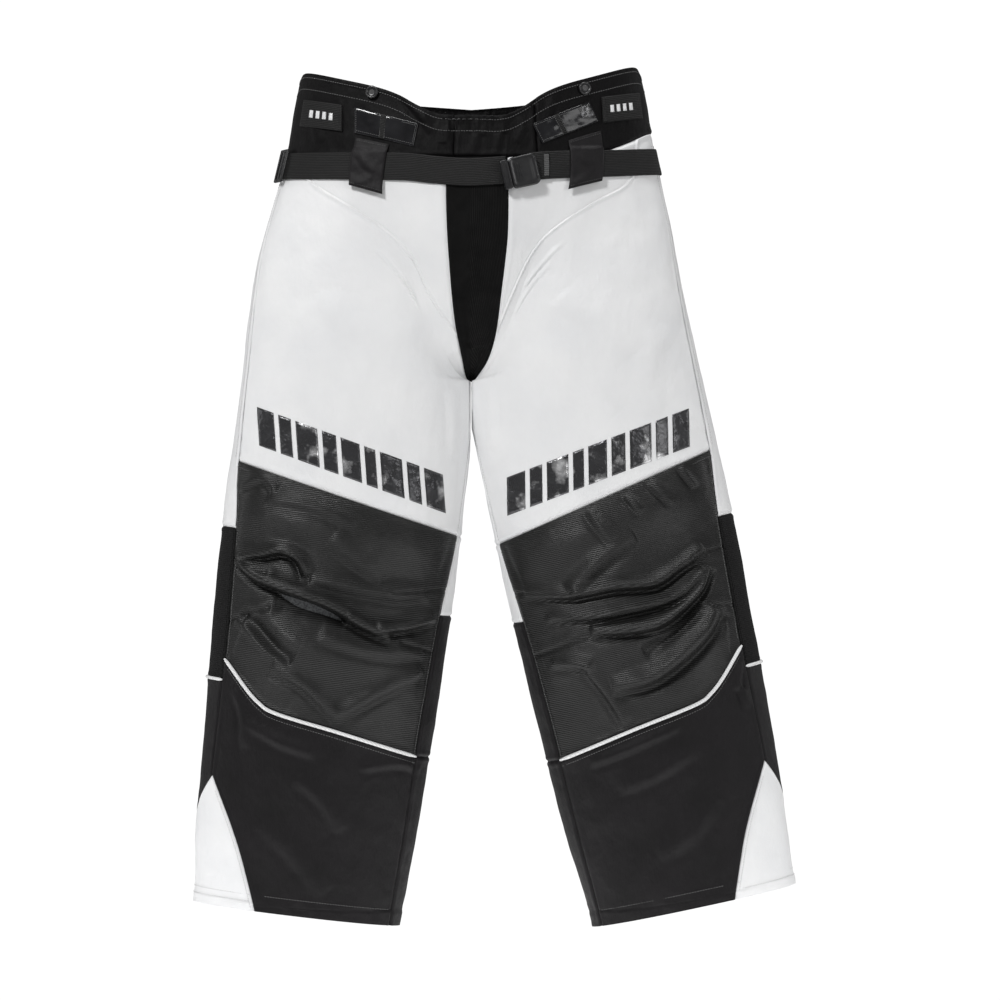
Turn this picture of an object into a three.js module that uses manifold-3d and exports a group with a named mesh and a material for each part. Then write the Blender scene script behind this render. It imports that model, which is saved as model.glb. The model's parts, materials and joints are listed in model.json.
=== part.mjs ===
// A goalkeeper's hockey pants, in the shape they take when worn: sewn panels over pads, a buckled belt and
// waist adjusters. Millimetres, +Z up, the front faces -Y, the origin is the middle of the waist opening.
// "left" and "right" are the wearer's, so left is +X.
import * as THREE from "three";
import Module from "manifold-3d";
import { mergeVertices } from "three/addons/utils/BufferGeometryUtils.js";

const wasm = await Module();
wasm.setup();

// ---------------------------------------------------------------- driving dimensions
const CROTCH_DROP = 345; // from the front of the waist down to the crotch
const HIP_X = 139; // each leg's axis from the middle, at the crotch
const LEG_LENGTH = 669; // from the crotch to the hem, along the leg
const SPLAY = { left: THREE.MathUtils.degToRad(12), right: THREE.MathUtils.degToRad(6.8) };
const SIGN = { left: 1, right: -1 };
const SIDES = ["right", "left"];
const SQUARENESS = 2.2; // exponent of the rounded sections, 2 being an ellipse
const THIGH_GAP = 1.5; // half the gap where the thighs touch

const FABRIC = 2; // a shell panel with its backing
const SEAM_GAP = 0.8; // between two panels' edges
const PAD_GAP = { knee: 2.2, hip: 2 }; // between a shell panel and the pad behind it
const STRAP_GAP = 0.9; // between the waist and what is sewn on it
const BELT_GAP = 1.8; // between the waist and the belt wrapped round it
const GROIN_INSET = 1.1; // the groin panel's own trim, where its seam slants
const KNEE_FOAM = 9;
const HIP_FOAM = 6;

const KNEE_TOP = { outer: 118, inner: 178 }; // the knee cover's upper edge
const VENT_TOP = 200; // the mesh at the side of the knee
const VENT_BACK_INNER = 278; // its upper edge behind the knee, at the inseam
const VENT_FOOT = 389;
const GUSSET_TOP = 508;

const YOKE_FOOT = { left: 50, right: 70 }; // how far the waist reaches down at each side
const YOKE_FOOT_FRONT = 72;
// The crotch rounds inwards over a quarter turn, from this drop to the crotch itself.
const SWEEP_FROM = 150;
const SWEEP_STEPS = 6;
const MIDDLE_END = 0.93;
const MIDDLE_U = 0.047; // half the width of the strips down the middle of the front and back, round the waist
const MIDDLE_TRIM = { top: 0.002, foot: 0.01 }; // how far those strips keep back from the seams beside them
const HIP_EASE = 0.22; // how far round from the middle the hips' shape gives way to the legs'
const WAIST_RISE = { left: 1.08, right: 0.9 }; // how high the waist stands at each hip
const PIPING_RADIUS = 1.6;

const WEBBING = 34;
const WEBBING_THICK = 1.8;
const FLAP_THICK = 2.2;
const TAB_THICK = 1.6;
const FOLD_GAP = 0.6; // between a strap and the flap or tab over it

// Rows of the two kinds of section: the drop below the waist or the distance below the crotch, then half the
// width, and the depth in front and behind.
const HIP_SECTIONS = [
  [-60, 206, 86, 94],
  [0, 219, 92, 101],
  [55, 228, 98, 112],
  [105, 239, 102, 122],
  [180, 257, 105, 130],
  [280, 278, 103, 126],
  [345, 290, 98, 112],
  [430, 300, 95, 100],
];
const LEG_SECTIONS = [
  [-420, 147, 98, 114],
  [-40, 146.5, 95, 104],
  [60, 147.5, 91, 94],
  [137, 149, 88, 86],
  [237, 149, 86, 76],
  [338, 146.5, 82, 73],
  [437, 143, 72, 74],
  [540, 139, 64, 69],
  [644, 131, 58, 63],
  [700, 128, 56, 61],
];

// ---------------------------------------------------------------- the body the garment follows
const { clamp, lerp } = THREE.MathUtils;
const ease = (v) => v * v * (3 - 2 * v);
const rounded = (v) => Math.sign(v) * Math.abs(v) ** (2 / SQUARENESS);

// The values at a place between the rows, as a smooth curve through them.
function between(rows, at) {
  let i = 0;
  while (i < rows.length - 2 && at > rows[i + 1][0]) i++;
  const [a, b] = [rows[i], rows[i + 1]];
  const before = rows[Math.max(i - 1, 0)];
  const after = rows[Math.min(i + 2, rows.length - 1)];
  const span = b[0] - a[0];
  const k = clamp((at - a[0]) / span, 0, 1);
  return a.slice(1).map((_, n) => {
    const [va, vb] = [a[n + 1], b[n + 1]];
    const slopeA = ((vb - before[n + 1]) / (b[0] - before[0])) * span;
    const slopeB = ((after[n + 1] - va) / (after[0] - a[0])) * span;
    return (
      va * (2 * k ** 3 - 3 * k ** 2 + 1) +
      slopeA * (k ** 3 - 2 * k ** 2 + k) +
      vb * (3 * k ** 2 - 2 * k ** 3) +
      slopeB * (k ** 3 - k ** 2)
    );
  });
}

const sweep = (quarter) => SWEEP_FROM + (CROTCH_DROP - SWEEP_FROM) * Math.sin((quarter * Math.PI) / 2);
const GROIN_FOOT = { panel: sweep(0.5) - 16, thigh: sweep(0.5) };
const dropAt = (side, s) => CROTCH_DROP + s + HIP_X * Math.sin(SPLAY[side]);
const legAt = (side, drop) => drop - CROTCH_DROP - HIP_X * Math.sin(SPLAY[side]);

// A point of one half of the garment. u runs round it, from the middle of the front (0) by the outside (0.5) to
// the middle of the back (1). Below the crotch 0 and 1 meet at the inseam. s runs down the leg from the crotch.
function shell(side, u, s) {
  const splay = SPLAY[side];
  const drop = dropAt(side, s);
  const [hipWidth, hipFront, hipBack] = between(HIP_SECTIONS, drop);
  const turn = Math.cos(Math.PI * u);
  const hip = [
    hipWidth * rounded(Math.sin(Math.PI * u)),
    -(turn > 0 ? hipFront : hipBack) * rounded(turn),
    -drop,
  ];
  const [legWidth, legFront, legBack] = between(LEG_SECTIONS, s);
  const across = -legWidth * rounded(Math.cos(2 * Math.PI * u));
  const forward = Math.sin(2 * Math.PI * u);
  const leg = [
    Math.max(HIP_X + s * Math.sin(splay) + across * Math.cos(splay), THIGH_GAP),
    -(forward > 0 ? legFront : legBack) * rounded(forward),
    -CROTCH_DROP - s * Math.cos(splay) + across * Math.sin(splay),
  ];
  const fork = clamp((drop - SWEEP_FROM) / (CROTCH_DROP - SWEEP_FROM), 0, 1);
  const tilt = clamp((drop - 60) / (CROTCH_DROP - 60), 0, 1);
  const atMiddle = 1 - Math.sqrt(1 - fork * fork);
  const fromMiddle = ease(clamp(Math.min(u, 1 - u) / HIP_EASE, 0, 1));
  const share = lerp(atMiddle, ease(tilt), fromMiddle);
  return new THREE.Vector3(
    SIGN[side] * lerp(hip[0], leg[0], share),
    lerp(hip[1], leg[1], share),
    lerp(hip[2], leg[2], share),
  );
}

// The outward normal there, from two short steps along the surface.
function outward(side, u, s) {
  const step = 0.004;
  const wrap = (v) => (dropAt(side, s) < CROTCH_DROP ? clamp(v, 0, 1) : v);
  const round = shell(side, wrap(u + step), s).sub(shell(side, wrap(u - step), s));
  const down = shell(side, u, s + 2).sub(shell(side, u, s - 2));
  return down.cross(round).multiplyScalar(SIGN[side]).normalize();
}

const lifted = (side, u, s, lift) =>
  shell(side, u, s).addScaledVector(outward(side, u, s), lift);

// ---------------------------------------------------------------- seams, as [u, s]
const SEAM_IN = [[-420, 0.047], [0, 0.045], [178, 0.04], [278, 0.068], [455, 0.08], [700, 0.072]];
const SEAM_OUT = [
  [-300, 0.455], [0, 0.447], [118, 0.433], [200, 0.414], [362, 0.408], [508, 0.416], [700, 0.42],
];
const BACK_OUT = 0.565;
const seamIn = (s) => between(SEAM_IN, s)[0];
const seamOut = (s) => between(SEAM_OUT, s)[0];
const along = (seam, from, to) => (k) => [seam(lerp(from, to, k)), lerp(from, to, k)];
// A stretch of a seam cut into parts, each a [share, from, to] whose places come from a function of 0 to 1.
const pieced = (seam, parts) => (k) => {
  let start = 0;
  for (const [share, at] of parts) {
    if (k <= start + share + 1e-9) {
      const s = at(clamp((k - start) / share, 0, 1));
      return [seam(s), s];
    }
    start += share;
  }
  return null;
};
const backIn = (s) => 1 - seamIn(s);
const backOut = () => BACK_OUT;

// How far across the leg's front a point lies, from -1 at the inseam to 1 at the outside, and back.
const acrossOf = (u) => -rounded(Math.cos(2 * Math.PI * u));
const uAcross = (w) => Math.acos(-Math.sign(w) * Math.abs(w) ** (SQUARENESS / 2)) / (2 * Math.PI);

// A curve through points [across, s], from the inseam side outwards.
const frontCurve = (points) => {
  const curve = new THREE.CatmullRomCurve3(
    points.map(([w, s]) => new THREE.Vector3(w, s, 0)), false, "centripetal");
  return (k) => {
    const p = curve.getPoint(k);
    return [uAcross(p.x), p.y];
  };
};
const uCurve = (points) => {
  const curve = new THREE.CatmullRomCurve3(
    points.map(([u, s]) => new THREE.Vector3(u * 1000, s, 0)), false, "centripetal");
  return (k) => {
    const p = curve.getPoint(k);
    return [p.x / 1000, p.y];
  };
};

const kneeTop = frontCurve([
  [acrossOf(seamIn(KNEE_TOP.inner)), KNEE_TOP.inner],
  [acrossOf(seamOut(KNEE_TOP.outer)), KNEE_TOP.outer],
]);
const PIPING_IN = 456;
const PIPING_OUT = 362;
const pipingLine = frontCurve([
  [acrossOf(seamIn(PIPING_IN)), PIPING_IN],
  [-0.2, 436],
  [0.38, 421],
  [0.52, 411],
  [acrossOf(seamOut(PIPING_OUT)), PIPING_OUT],
]);
const hemAt = (u) => [u, LEG_LENGTH];
const GUSSET_HEM = { front: uAcross(0.385), back: 0.66 };
const gussetFront = frontCurve([
  [acrossOf(seamOut(GUSSET_TOP)), GUSSET_TOP],
  [0.62, 582],
  [0.467, 638],
  [0.385, LEG_LENGTH],
]);
const GUSSET_AT_BACK_SEAM = 604;
const gussetBack = uCurve([
  [seamOut(GUSSET_TOP), GUSSET_TOP],
  [0.5, 560],
  [BACK_OUT, GUSSET_AT_BACK_SEAM],
]);
const gussetBackFoot = uCurve([
  [BACK_OUT, GUSSET_AT_BACK_SEAM],
  [0.62, 642],
  [GUSSET_HEM.back, LEG_LENGTH],
]);
const straight = (a, b) => (k) => [lerp(a[0], b[0], k), lerp(a[1], b[1], k)];
const joined = (first, second, share) => (k) =>
  k <= share ? first(k / share) : second((k - share) / (1 - share));
const reversed = (curve) => (k) => curve(1 - k);

// The waist's lower edge, and the slanting seam from it to the crotch panel.
const GROIN_U = 0.36;
const yokeFoot = (side, u) => {
  const k = ease(clamp((Math.min(u, 1 - u) - HIP_EASE) / 0.2, 0, 1));
  return legAt(side, lerp(YOKE_FOOT_FRONT, YOKE_FOOT[side], k));
};
const yokeEdge = (side, from, to) => (k) => {
  const u = lerp(from, to, k);
  return [u, yokeFoot(side, u)];
};
// Its places round the front, each with its share of the way from the waist's lower edge down to its foot.
const GROIN_SEAM = [[0.315, 0.1204], [0.235, 0.2594], [0.142, 0.4632], [0.104, 0.579], [0.072, 0.7689]];
const groinSeam = (side, foot) =>
  uCurve([
    [GROIN_U, yokeFoot(side, GROIN_U)],
    ...GROIN_SEAM.map(([u, share]) => [u, legAt(side, lerp(YOKE_FOOT_FRONT, GROIN_FOOT.thigh, share))]),
    [MIDDLE_U, legAt(side, foot)],
  ]);

// The waist's upper edge: low in the middle of the front, high at the hips.
const WAIST_TOP = [
  [0, -20], [0.05, -19], [0.085, -8], [0.12, 6], [0.16, 16], [0.22, 25], [0.32, 36], [0.4, 41],
  [0.455, 40], [0.5, 33], [0.56, 36], [0.68, 30], [0.84, 12], [1, 2],
];

// ---------------------------------------------------------------- closed patches
// A closed mesh from two grids of points, an outer and an inner one, joined round their rim.
function slab(outer, inner) {
  const rows = outer.length;
  const cols = outer[0].length;
  const points = [...outer.flat(), ...inner.flat()];
  const half = rows * cols;
  const faces = [];
  const quad = (a, b, c, d) => faces.push(a, b, c, a, c, d);
  for (let r = 0; r < rows - 1; r++)
    for (let c = 0; c < cols - 1; c++) {
      const a = r * cols + c;
      quad(a, a + cols, a + cols + 1, a + 1);
      quad(half + a, half + a + 1, half + a + cols + 1, half + a + cols);
    }
  const rim = [];
  for (let c = 0; c < cols - 1; c++) rim.push(c);
  for (let r = 0; r < rows - 1; r++) rim.push(r * cols + cols - 1);
  for (let c = cols - 1; c > 0; c--) rim.push((rows - 1) * cols + c);
  for (let r = rows - 1; r > 0; r--) rim.push(r * cols);
  rim.forEach((a, n) => {
    const b = rim[(n + 1) % rim.length];
    quad(a, b, half + b, half + a);
  });
  return solidFrom(points, faces);
}

function solidFrom(points, faces) {
  const geometry = new THREE.BufferGeometry();
  geometry.setAttribute("position", new THREE.Float32BufferAttribute(points.flatMap((p) => p.toArray()), 3));
  geometry.setIndex(faces);
  return turnedOut(geometry);
}

// Reverses the faces if they point inwards.
function turnedOut(geometry) {
  const p = geometry.attributes.position;
  const index = geometry.index.array;
  const [a, b, c] = [0, 0, 0].map(() => new THREE.Vector3());
  let volume = 0;
  for (let i = 0; i < index.length; i += 3) {
    a.fromBufferAttribute(p, index[i]);
    b.fromBufferAttribute(p, index[i + 1]);
    c.fromBufferAttribute(p, index[i + 2]);
    volume += a.dot(b.cross(c));
  }
  if (volume < 0) geometry.setIndex(Array.from(index).reverse());
  return geometry;
}

// A panel of the shell between four edges, each a function from 0 to 1 that gives [u, s]: top and bottom run
// from the left edge to the right one. It reaches from the lift "high" down to "low" above the shell's surface.
function panel(side, edges, cols, rows, high = 0, low = -FABRIC, inset = SEAM_GAP / 2) {
  const { top, bottom, left, right } = edges;
  const at = (a, b) =>
    [0, 1].map(
      (n) =>
        (1 - b) * top(a)[n] + b * bottom(a)[n] + (1 - a) * left(b)[n] + a * right(b)[n] -
        (1 - a) * (1 - b) * top(0)[n] - a * (1 - b) * top(1)[n] -
        (1 - a) * b * bottom(0)[n] - a * b * bottom(1)[n],
    );
  const spot = (a, b) => shell(side, ...at(a, b));
  const across = (a, b) => inset / Math.max(spot(0, b).distanceTo(spot(1, b)), 4 * inset);
  const down = (a, b) => inset / Math.max(spot(a, 0).distanceTo(spot(a, 1)), 4 * inset);
  const grid = (lift) =>
    Array.from({ length: rows + 1 }, (_, r) =>
      Array.from({ length: cols + 1 }, (_, c) => {
        const [a0, b0] = [c / cols, r / rows];
        const [i, j] = [across(a0, b0), down(a0, b0)];
        const [u, s] = at(i + (1 - 2 * i) * a0, j + (1 - 2 * j) * b0);
        return lifted(side, u, s, lift);
      }),
    );
  return slab(grid(high), grid(low));
}

// ---------------------------------------------------------------- small shapes
function rectangleShape(x, y, wide, tall) {
  const shape = new THREE.Shape();
  shape.moveTo(x - wide / 2, y - tall / 2);
  shape.lineTo(x + wide / 2, y - tall / 2);
  shape.lineTo(x + wide / 2, y + tall / 2);
  shape.lineTo(x - wide / 2, y + tall / 2);
  return shape;
}
function roundedRectangle(wide, tall, radius) {
  const [x, y] = [wide / 2 - radius, tall / 2 - radius];
  const shape = new THREE.Shape();
  shape.absarc(x, y, radius, 0, Math.PI / 2);
  shape.absarc(-x, y, radius, Math.PI / 2, Math.PI);
  shape.absarc(-x, -y, radius, Math.PI, 1.5 * Math.PI);
  shape.absarc(x, -y, radius, 1.5 * Math.PI, 2 * Math.PI);
  return shape;
}

// A round cord through points, with flat ends.
function tube(points, radius, steps) {
  const ring = new THREE.Shape();
  ring.absarc(0, 0, radius, 0, 2 * Math.PI);
  return new THREE.ExtrudeGeometry(ring, {
    steps, curveSegments: 4, bevelEnabled: false, extrudePath: new THREE.CatmullRomCurve3(points),
  });
}

// A shape drawn in XY, as a solid from the height "from" upwards.
function extrude(shape, depth, from) {
  const geometry = new THREE.ExtrudeGeometry(shape, { depth, bevelEnabled: false, curveSegments: 5 });
  return geometry.translate(0, 0, from);
}

function solidOf(geometry) {
  const bare = new THREE.BufferGeometry();
  bare.setAttribute("position", (geometry.index ? geometry.toNonIndexed() : geometry).attributes.position);
  const merged = mergeVertices(bare, 1e-4);
  return new wasm.Manifold(new wasm.Mesh({
    numProp: 3,
    vertProperties: merged.attributes.position.array,
    triVerts: new Uint32Array(merged.index.array),
  }));
}
function geometryOf(solid) {
  const { vertProperties, triVerts } = solid.getMesh();
  const geometry = new THREE.BufferGeometry();
  geometry.setAttribute("position", new THREE.BufferAttribute(new Float32Array(vertProperties), 3));
  return geometry.setIndex(Array.from(triVerts));
}
const union = (geometries) => geometryOf(geometries.map(solidOf).reduce((a, b) => a.add(b)));
const cut = (whole, tools) => geometryOf(tools.map(solidOf).reduce((a, b) => a.subtract(b), solidOf(whole)));

// Stands a shape drawn in its own XY plane on the waist: its +Z turns outwards and its +Y turns up.
function standOn(geometry, w, drop, lift, roll) {
  const foot = around(w, drop, lift);
  const out = around(w, drop, lift + 10).sub(foot).normalize();
  const along = new THREE.Vector3(0, 0, 1).cross(out).normalize();
  const up = out.clone().cross(along);
  geometry.rotateZ(roll);
  geometry.applyMatrix4(new THREE.Matrix4().makeBasis(along, up, out).setPosition(foot));
  return geometry;
}

// ---------------------------------------------------------------- the assembly
const pants = new THREE.Group();
const COLOURS = {
  white_nylon: [0xeeeeee, 0.55, 0],
  black_nylon: [0x1b1a1d, 0.5, 0],
  knee_fabric: [0x232320, 0.6, 0],
  mesh: [0x141414, 0.9, 0],
  knit: [0x101010, 0.85, 0],
  webbing: [0x2a2a2a, 0.8, 0],
  gloss_film: [0x0c0c0e, 0.12, 0],
  plastic: [0x111111, 0.4, 0],
  piping: [0xf5f5f5, 0.6, 0],
  foam: [0x55585c, 0.95, 0],
};
const materials = Object.fromEntries(
  Object.entries(COLOURS).map(([name, [color, roughness, metalness]]) => [
    name, new THREE.MeshStandardMaterial({ color, roughness, metalness }),
  ]),
);
function add(name, geometry, material, parent = pants) {
  const mesh = new THREE.Mesh(geometry, materials[material]);
  mesh.name = name;
  parent.add(mesh);
  return mesh;
}

// ---------------------------------------------------------------- legs
for (const side of SIDES) {
  const put = (part, edges, cols, rows, material, ...lifts) =>
    add(`${side}_${part}`, panel(side, edges, cols, rows, ...lifts), material);
  const crotch = legAt(side, CROTCH_DROP);
  const groinFoot = legAt(side, GROIN_FOOT.panel);
  const groinTop = legAt(side, GROIN_FOOT.thigh);
  const yoke = (u) => yokeFoot(side, u);

  put("groin_panel", {
    top: yokeEdge(side, MIDDLE_U, GROIN_U),
    bottom: () => [MIDDLE_U, groinFoot],
    left: straight([MIDDLE_U, yoke(MIDDLE_U)], [MIDDLE_U, groinFoot]),
    right: groinSeam(side, GROIN_FOOT.panel),
  }, 8, 8, "white_nylon", 0, -FABRIC, GROIN_INSET);

  put("thigh_front", {
    top: joined(
      reversed(groinSeam(side, GROIN_FOOT.thigh)),
      yokeEdge(side, GROIN_U, seamOut(-300)), 0.8),
    bottom: kneeTop,
    left: pieced(seamIn, [
      [3 / 7, (k) => legAt(side, sweep(0.5 + k / 2))],
      [4 / 7, (k) => lerp(crotch, KNEE_TOP.inner, k)],
    ]),
    right: along(seamOut, yoke(0.45), KNEE_TOP.outer),
  }, 10, 7, "white_nylon");

  put("thigh_side", {
    top: yokeEdge(side, seamOut(-300), BACK_OUT),
    bottom: straight([seamOut(VENT_TOP), VENT_TOP], [BACK_OUT, VENT_TOP]),
    left: along(seamOut, yoke(0.45), VENT_TOP),
    right: along(backOut, yoke(BACK_OUT), VENT_TOP),
  }, 4, 8, "white_nylon");

  put("thigh_back", {
    top: yokeEdge(side, BACK_OUT, 1 - MIDDLE_U),
    bottom: straight([BACK_OUT, VENT_TOP], [backIn(VENT_BACK_INNER), VENT_BACK_INNER]),
    left: along(backOut, yoke(BACK_OUT), VENT_TOP),
    right: pieced(backIn, [
      [1 / 12, (k) => lerp(yoke(1 - MIDDLE_U), legAt(side, SWEEP_FROM), k)],
      [6 / 12, (k) => legAt(side, sweep(k))],
      [5 / 12, (k) => lerp(crotch, VENT_BACK_INNER, k)],
    ]),
  }, 9, 12, "white_nylon");

  const inseam = (part, from, to, rows, material, inset) =>
    put(part, {
      top: straight([-seamIn(from), from], [seamIn(from), from]),
      bottom: straight([-seamIn(to), to], [seamIn(to), to]),
      left: along((at) => -seamIn(at), from, to),
      right: along(seamIn, from, to),
    }, 4, rows, material, 0, -FABRIC, inset);
  inseam("thigh_inner", crotch + 3, KNEE_TOP.inner, 5, "white_nylon", SEAM_GAP / 2);
  inseam("knee_inner", KNEE_TOP.inner, PIPING_IN, 8, "black_nylon", SEAM_GAP);
  inseam("shin_inner", PIPING_IN, LEG_LENGTH, 4, "black_nylon", SEAM_GAP / 2);

  put("knee_cover", {
    top: kneeTop,
    bottom: pipingLine,
    left: along(seamIn, KNEE_TOP.inner, PIPING_IN),
    right: along(seamOut, KNEE_TOP.outer, PIPING_OUT),
  }, 10, 7, "knee_fabric");

  put("knee_foam", {
    top: straight([0.13, 205], [0.36, 175]),
    bottom: straight([0.14, 415], [0.34, 385]),
    left: straight([0.13, 205], [0.14, 415]),
    right: straight([0.36, 175], [0.34, 385]),
  }, 9, 6, "foam", -FABRIC - PAD_GAP.knee, -FABRIC - PAD_GAP.knee - KNEE_FOAM);

  put("side_vent", {
    top: straight([seamOut(VENT_TOP), VENT_TOP], [BACK_OUT, VENT_TOP]),
    bottom: straight([seamOut(VENT_FOOT), VENT_FOOT], [BACK_OUT, VENT_FOOT]),
    left: along(seamOut, VENT_TOP, VENT_FOOT),
    right: along(backOut, VENT_TOP, VENT_FOOT),
  }, 4, 4, "mesh");

  put("knee_vent", {
    top: straight([BACK_OUT, VENT_TOP], [backIn(VENT_BACK_INNER), VENT_BACK_INNER]),
    bottom: straight([BACK_OUT, VENT_FOOT], [backIn(VENT_FOOT), VENT_FOOT]),
    left: along(backOut, VENT_TOP, VENT_FOOT),
    right: along(backIn, VENT_BACK_INNER, VENT_FOOT),
  }, 9, 4, "mesh");

  put("shin_front", {
    top: pipingLine,
    bottom: (k) => hemAt(lerp(seamIn(LEG_LENGTH), GUSSET_HEM.front, k)),
    left: along(seamIn, PIPING_IN, LEG_LENGTH),
    right: joined(along(seamOut, PIPING_OUT, GUSSET_TOP), gussetFront, 1 / 3),
  }, 10, 12, "black_nylon");

  put("shin_side", {
    top: straight([seamOut(VENT_FOOT), VENT_FOOT], [BACK_OUT, VENT_FOOT]),
    bottom: gussetBack,
    left: along(seamOut, VENT_FOOT, GUSSET_TOP),
    right: along(backOut, VENT_FOOT, GUSSET_AT_BACK_SEAM),
  }, 4, 5, "black_nylon");

  put("hem_gusset", {
    top: () => gussetFront(0),
    bottom: (k) => hemAt(lerp(GUSSET_HEM.front, GUSSET_HEM.back, k)),
    left: gussetFront,
    right: joined(gussetBack, gussetBackFoot, 0.5),
  }, 8, 8, "white_nylon");

  put("calf_back", {
    top: straight([BACK_OUT, VENT_FOOT], [backIn(VENT_FOOT), VENT_FOOT]),
    bottom: (k) => hemAt(lerp(GUSSET_HEM.back, backIn(LEG_LENGTH), k)),
    left: joined(along(backOut, VENT_FOOT, GUSSET_AT_BACK_SEAM), gussetBackFoot, 0.5),
    right: along(backIn, VENT_FOOT, LEG_LENGTH),
  }, 9, 8, "black_nylon");

  const pipingSteps = 12;
  const piping = Array.from({ length: pipingSteps + 1 }, (_, i) => {
    const [u, at] = pipingLine(lerp(0.02, 0.98, i / pipingSteps));
    return lifted(side, u, at, PIPING_RADIUS + STRAP_GAP);
  });
  add(`${side}_knee_piping`, tube(piping, PIPING_RADIUS, pipingSteps), "piping");
}

// ---------------------------------------------------------------- waist
// A point by its place round the waist, w: 0 is the middle of the front, 0.5 the left hip, 1 the middle of
// the back and 1.5 the right hip.
function around(w, drop, lift) {
  const turn = ((w % 2) + 2) % 2;
  const [side, u] = turn <= 1 ? ["left", turn] : ["right", 2 - turn];
  const p = lifted(side, u, legAt(side, drop), lift);
  if (u === 0 || u === 1) p.x = 0;
  return p;
}
const halfTurn = (w) => {
  const turn = ((w % 2) + 2) % 2;
  return turn <= 1 ? turn : 2 - turn;
};
const sideOf = (w) => (((w % 2) + 2) % 2 <= 1 ? "left" : "right");
const topDrop = (w) => -between(WAIST_TOP, halfTurn(w))[0] * WAIST_RISE[sideOf(w)];
const footDrop = (w) => dropAt(sideOf(w), yokeFoot(sideOf(w), halfTurn(w)));

// A piece of the waist between two places round it, and between two drops that may change along it.
function girdle(from, to, top, bottom, cols, rows, high = 0, low = -FABRIC, inset = SEAM_GAP / 2) {
  const end = inset / around(from, 40, 0).distanceTo(around((from + to) / 2, 40, 0)) / 2;
  const grid = (lift) =>
    Array.from({ length: rows + 1 }, (_, r) =>
      Array.from({ length: cols + 1 }, (_, c) => {
        const w = lerp(from, to, lerp(end, 1 - end, c / cols));
        const drop = lerp(top(w) + inset, bottom(w) - inset, r / rows);
        const at = typeof lift === "function" ? lift(r / rows, c / cols) : lift;
        return around(w, drop, at);
      }),
    );
  return slab(grid(high), grid(low));
}

const FRONT_ELASTIC = [-0.0225, 0.105];
const BACK_ELASTIC = [0.9, 1.1];
const waistPieces = [
  ["waist_front_elastic", FRONT_ELASTIC[0], FRONT_ELASTIC[1], 6],
  ["waist_front_left", FRONT_ELASTIC[1], 0.5, 12],
  ["waist_back_left", 0.5, BACK_ELASTIC[0], 12],
  ["waist_back_elastic", BACK_ELASTIC[0], BACK_ELASTIC[1], 6],
  ["waist_back_right", BACK_ELASTIC[1], 1.5, 12],
  ["waist_front_right", 1.5, 2 + FRONT_ELASTIC[0], 12],
];
for (const [name, from, to, cols] of waistPieces)
  add(name, girdle(from, to, topDrop, footDrop, cols, 3), "black_nylon");

const HIP_PAD = { half: 0.11, top: 90, foot: 235 };
for (const [side, at] of [["left", 0.3], ["right", 1.7]]) {
  const { half, top, foot } = HIP_PAD;
  const face = -FABRIC - PAD_GAP.hip;
  add(`${side}_hip_foam`, girdle(
    at - half, at + half, () => top, () => foot, 9, 5, face, face - HIP_FOAM), "foam");
}

// The knitted strip down the middle of the front and its match behind, both rounding in to the crotch.
function middleStrip(middle) {
  const cols = 4;
  const top = footDrop(middle) + SEAM_GAP / 2;
  const straightRows = 3;
  const drops = Array.from({ length: straightRows }, (_, r) => lerp(top, SWEEP_FROM, r / straightRows));
  for (let r = 0; r < SWEEP_STEPS; r++) drops.push(sweep(r / SWEEP_STEPS));
  drops.push(sweep(MIDDLE_END));
  const grid = (lift) =>
    drops.map((drop) =>
      Array.from({ length: cols + 1 }, (_, c) => {
        const reach = drop < sweep(0.5) - 1 ? MIDDLE_U : seamIn(legAt("left", drop));
        const low = clamp((drop - sweep(0.6)) / (sweep(MIDDLE_END) - sweep(0.6)), 0, 1);
        const trim = lerp(MIDDLE_TRIM.top, MIDDLE_TRIM.foot, low);
        return around(middle + lerp(-1, 1, c / cols) * (reach - trim), drop, lift);
      }),
    );
  return slab(grid(0), grid(-FABRIC));
}
add("crotch_panel", middleStrip(2), "knit");
add("seat_panel", middleStrip(1), "knit");

// ---------------------------------------------------------------- belt
// How far below the waist's top the belt's middle lies, all round.
const BELT_DROP = [
  [0, 91], [0.05, 88], [0.12, 82], [0.25, 79], [0.5, 73], [0.75, 72], [1, 72],
  [1.25, 73], [1.5, 79], [1.75, 82], [1.9, 84], [1.95, 88], [2, 91], [2.05, 90],
];
const beltDrop = (w) => between(BELT_DROP, ((w % 2) + 2) % 2)[0];
const beltTop = (w) => beltDrop(w) - WEBBING / 2;
const beltFoot = (w) => beltDrop(w) + WEBBING / 2;
const BELT_OUT = BELT_GAP + WEBBING_THICK;
const BUCKLE_FROM = 0.05; // where the belt's two ends meet the buckle, as a place round the waist
const BUCKLE_TO = 0.09;
const SLIDER_AT = 1.555;

add("belt", girdle(BUCKLE_TO, SLIDER_AT, beltTop, beltFoot, 32, 1, BELT_OUT, BELT_GAP, 0), "webbing");
add("belt_end", girdle(
  SLIDER_AT + 0.004, 2 + BUCKLE_FROM, beltTop, beltFoot, 16, 1, BELT_OUT, BELT_GAP, 0), "webbing");

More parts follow.
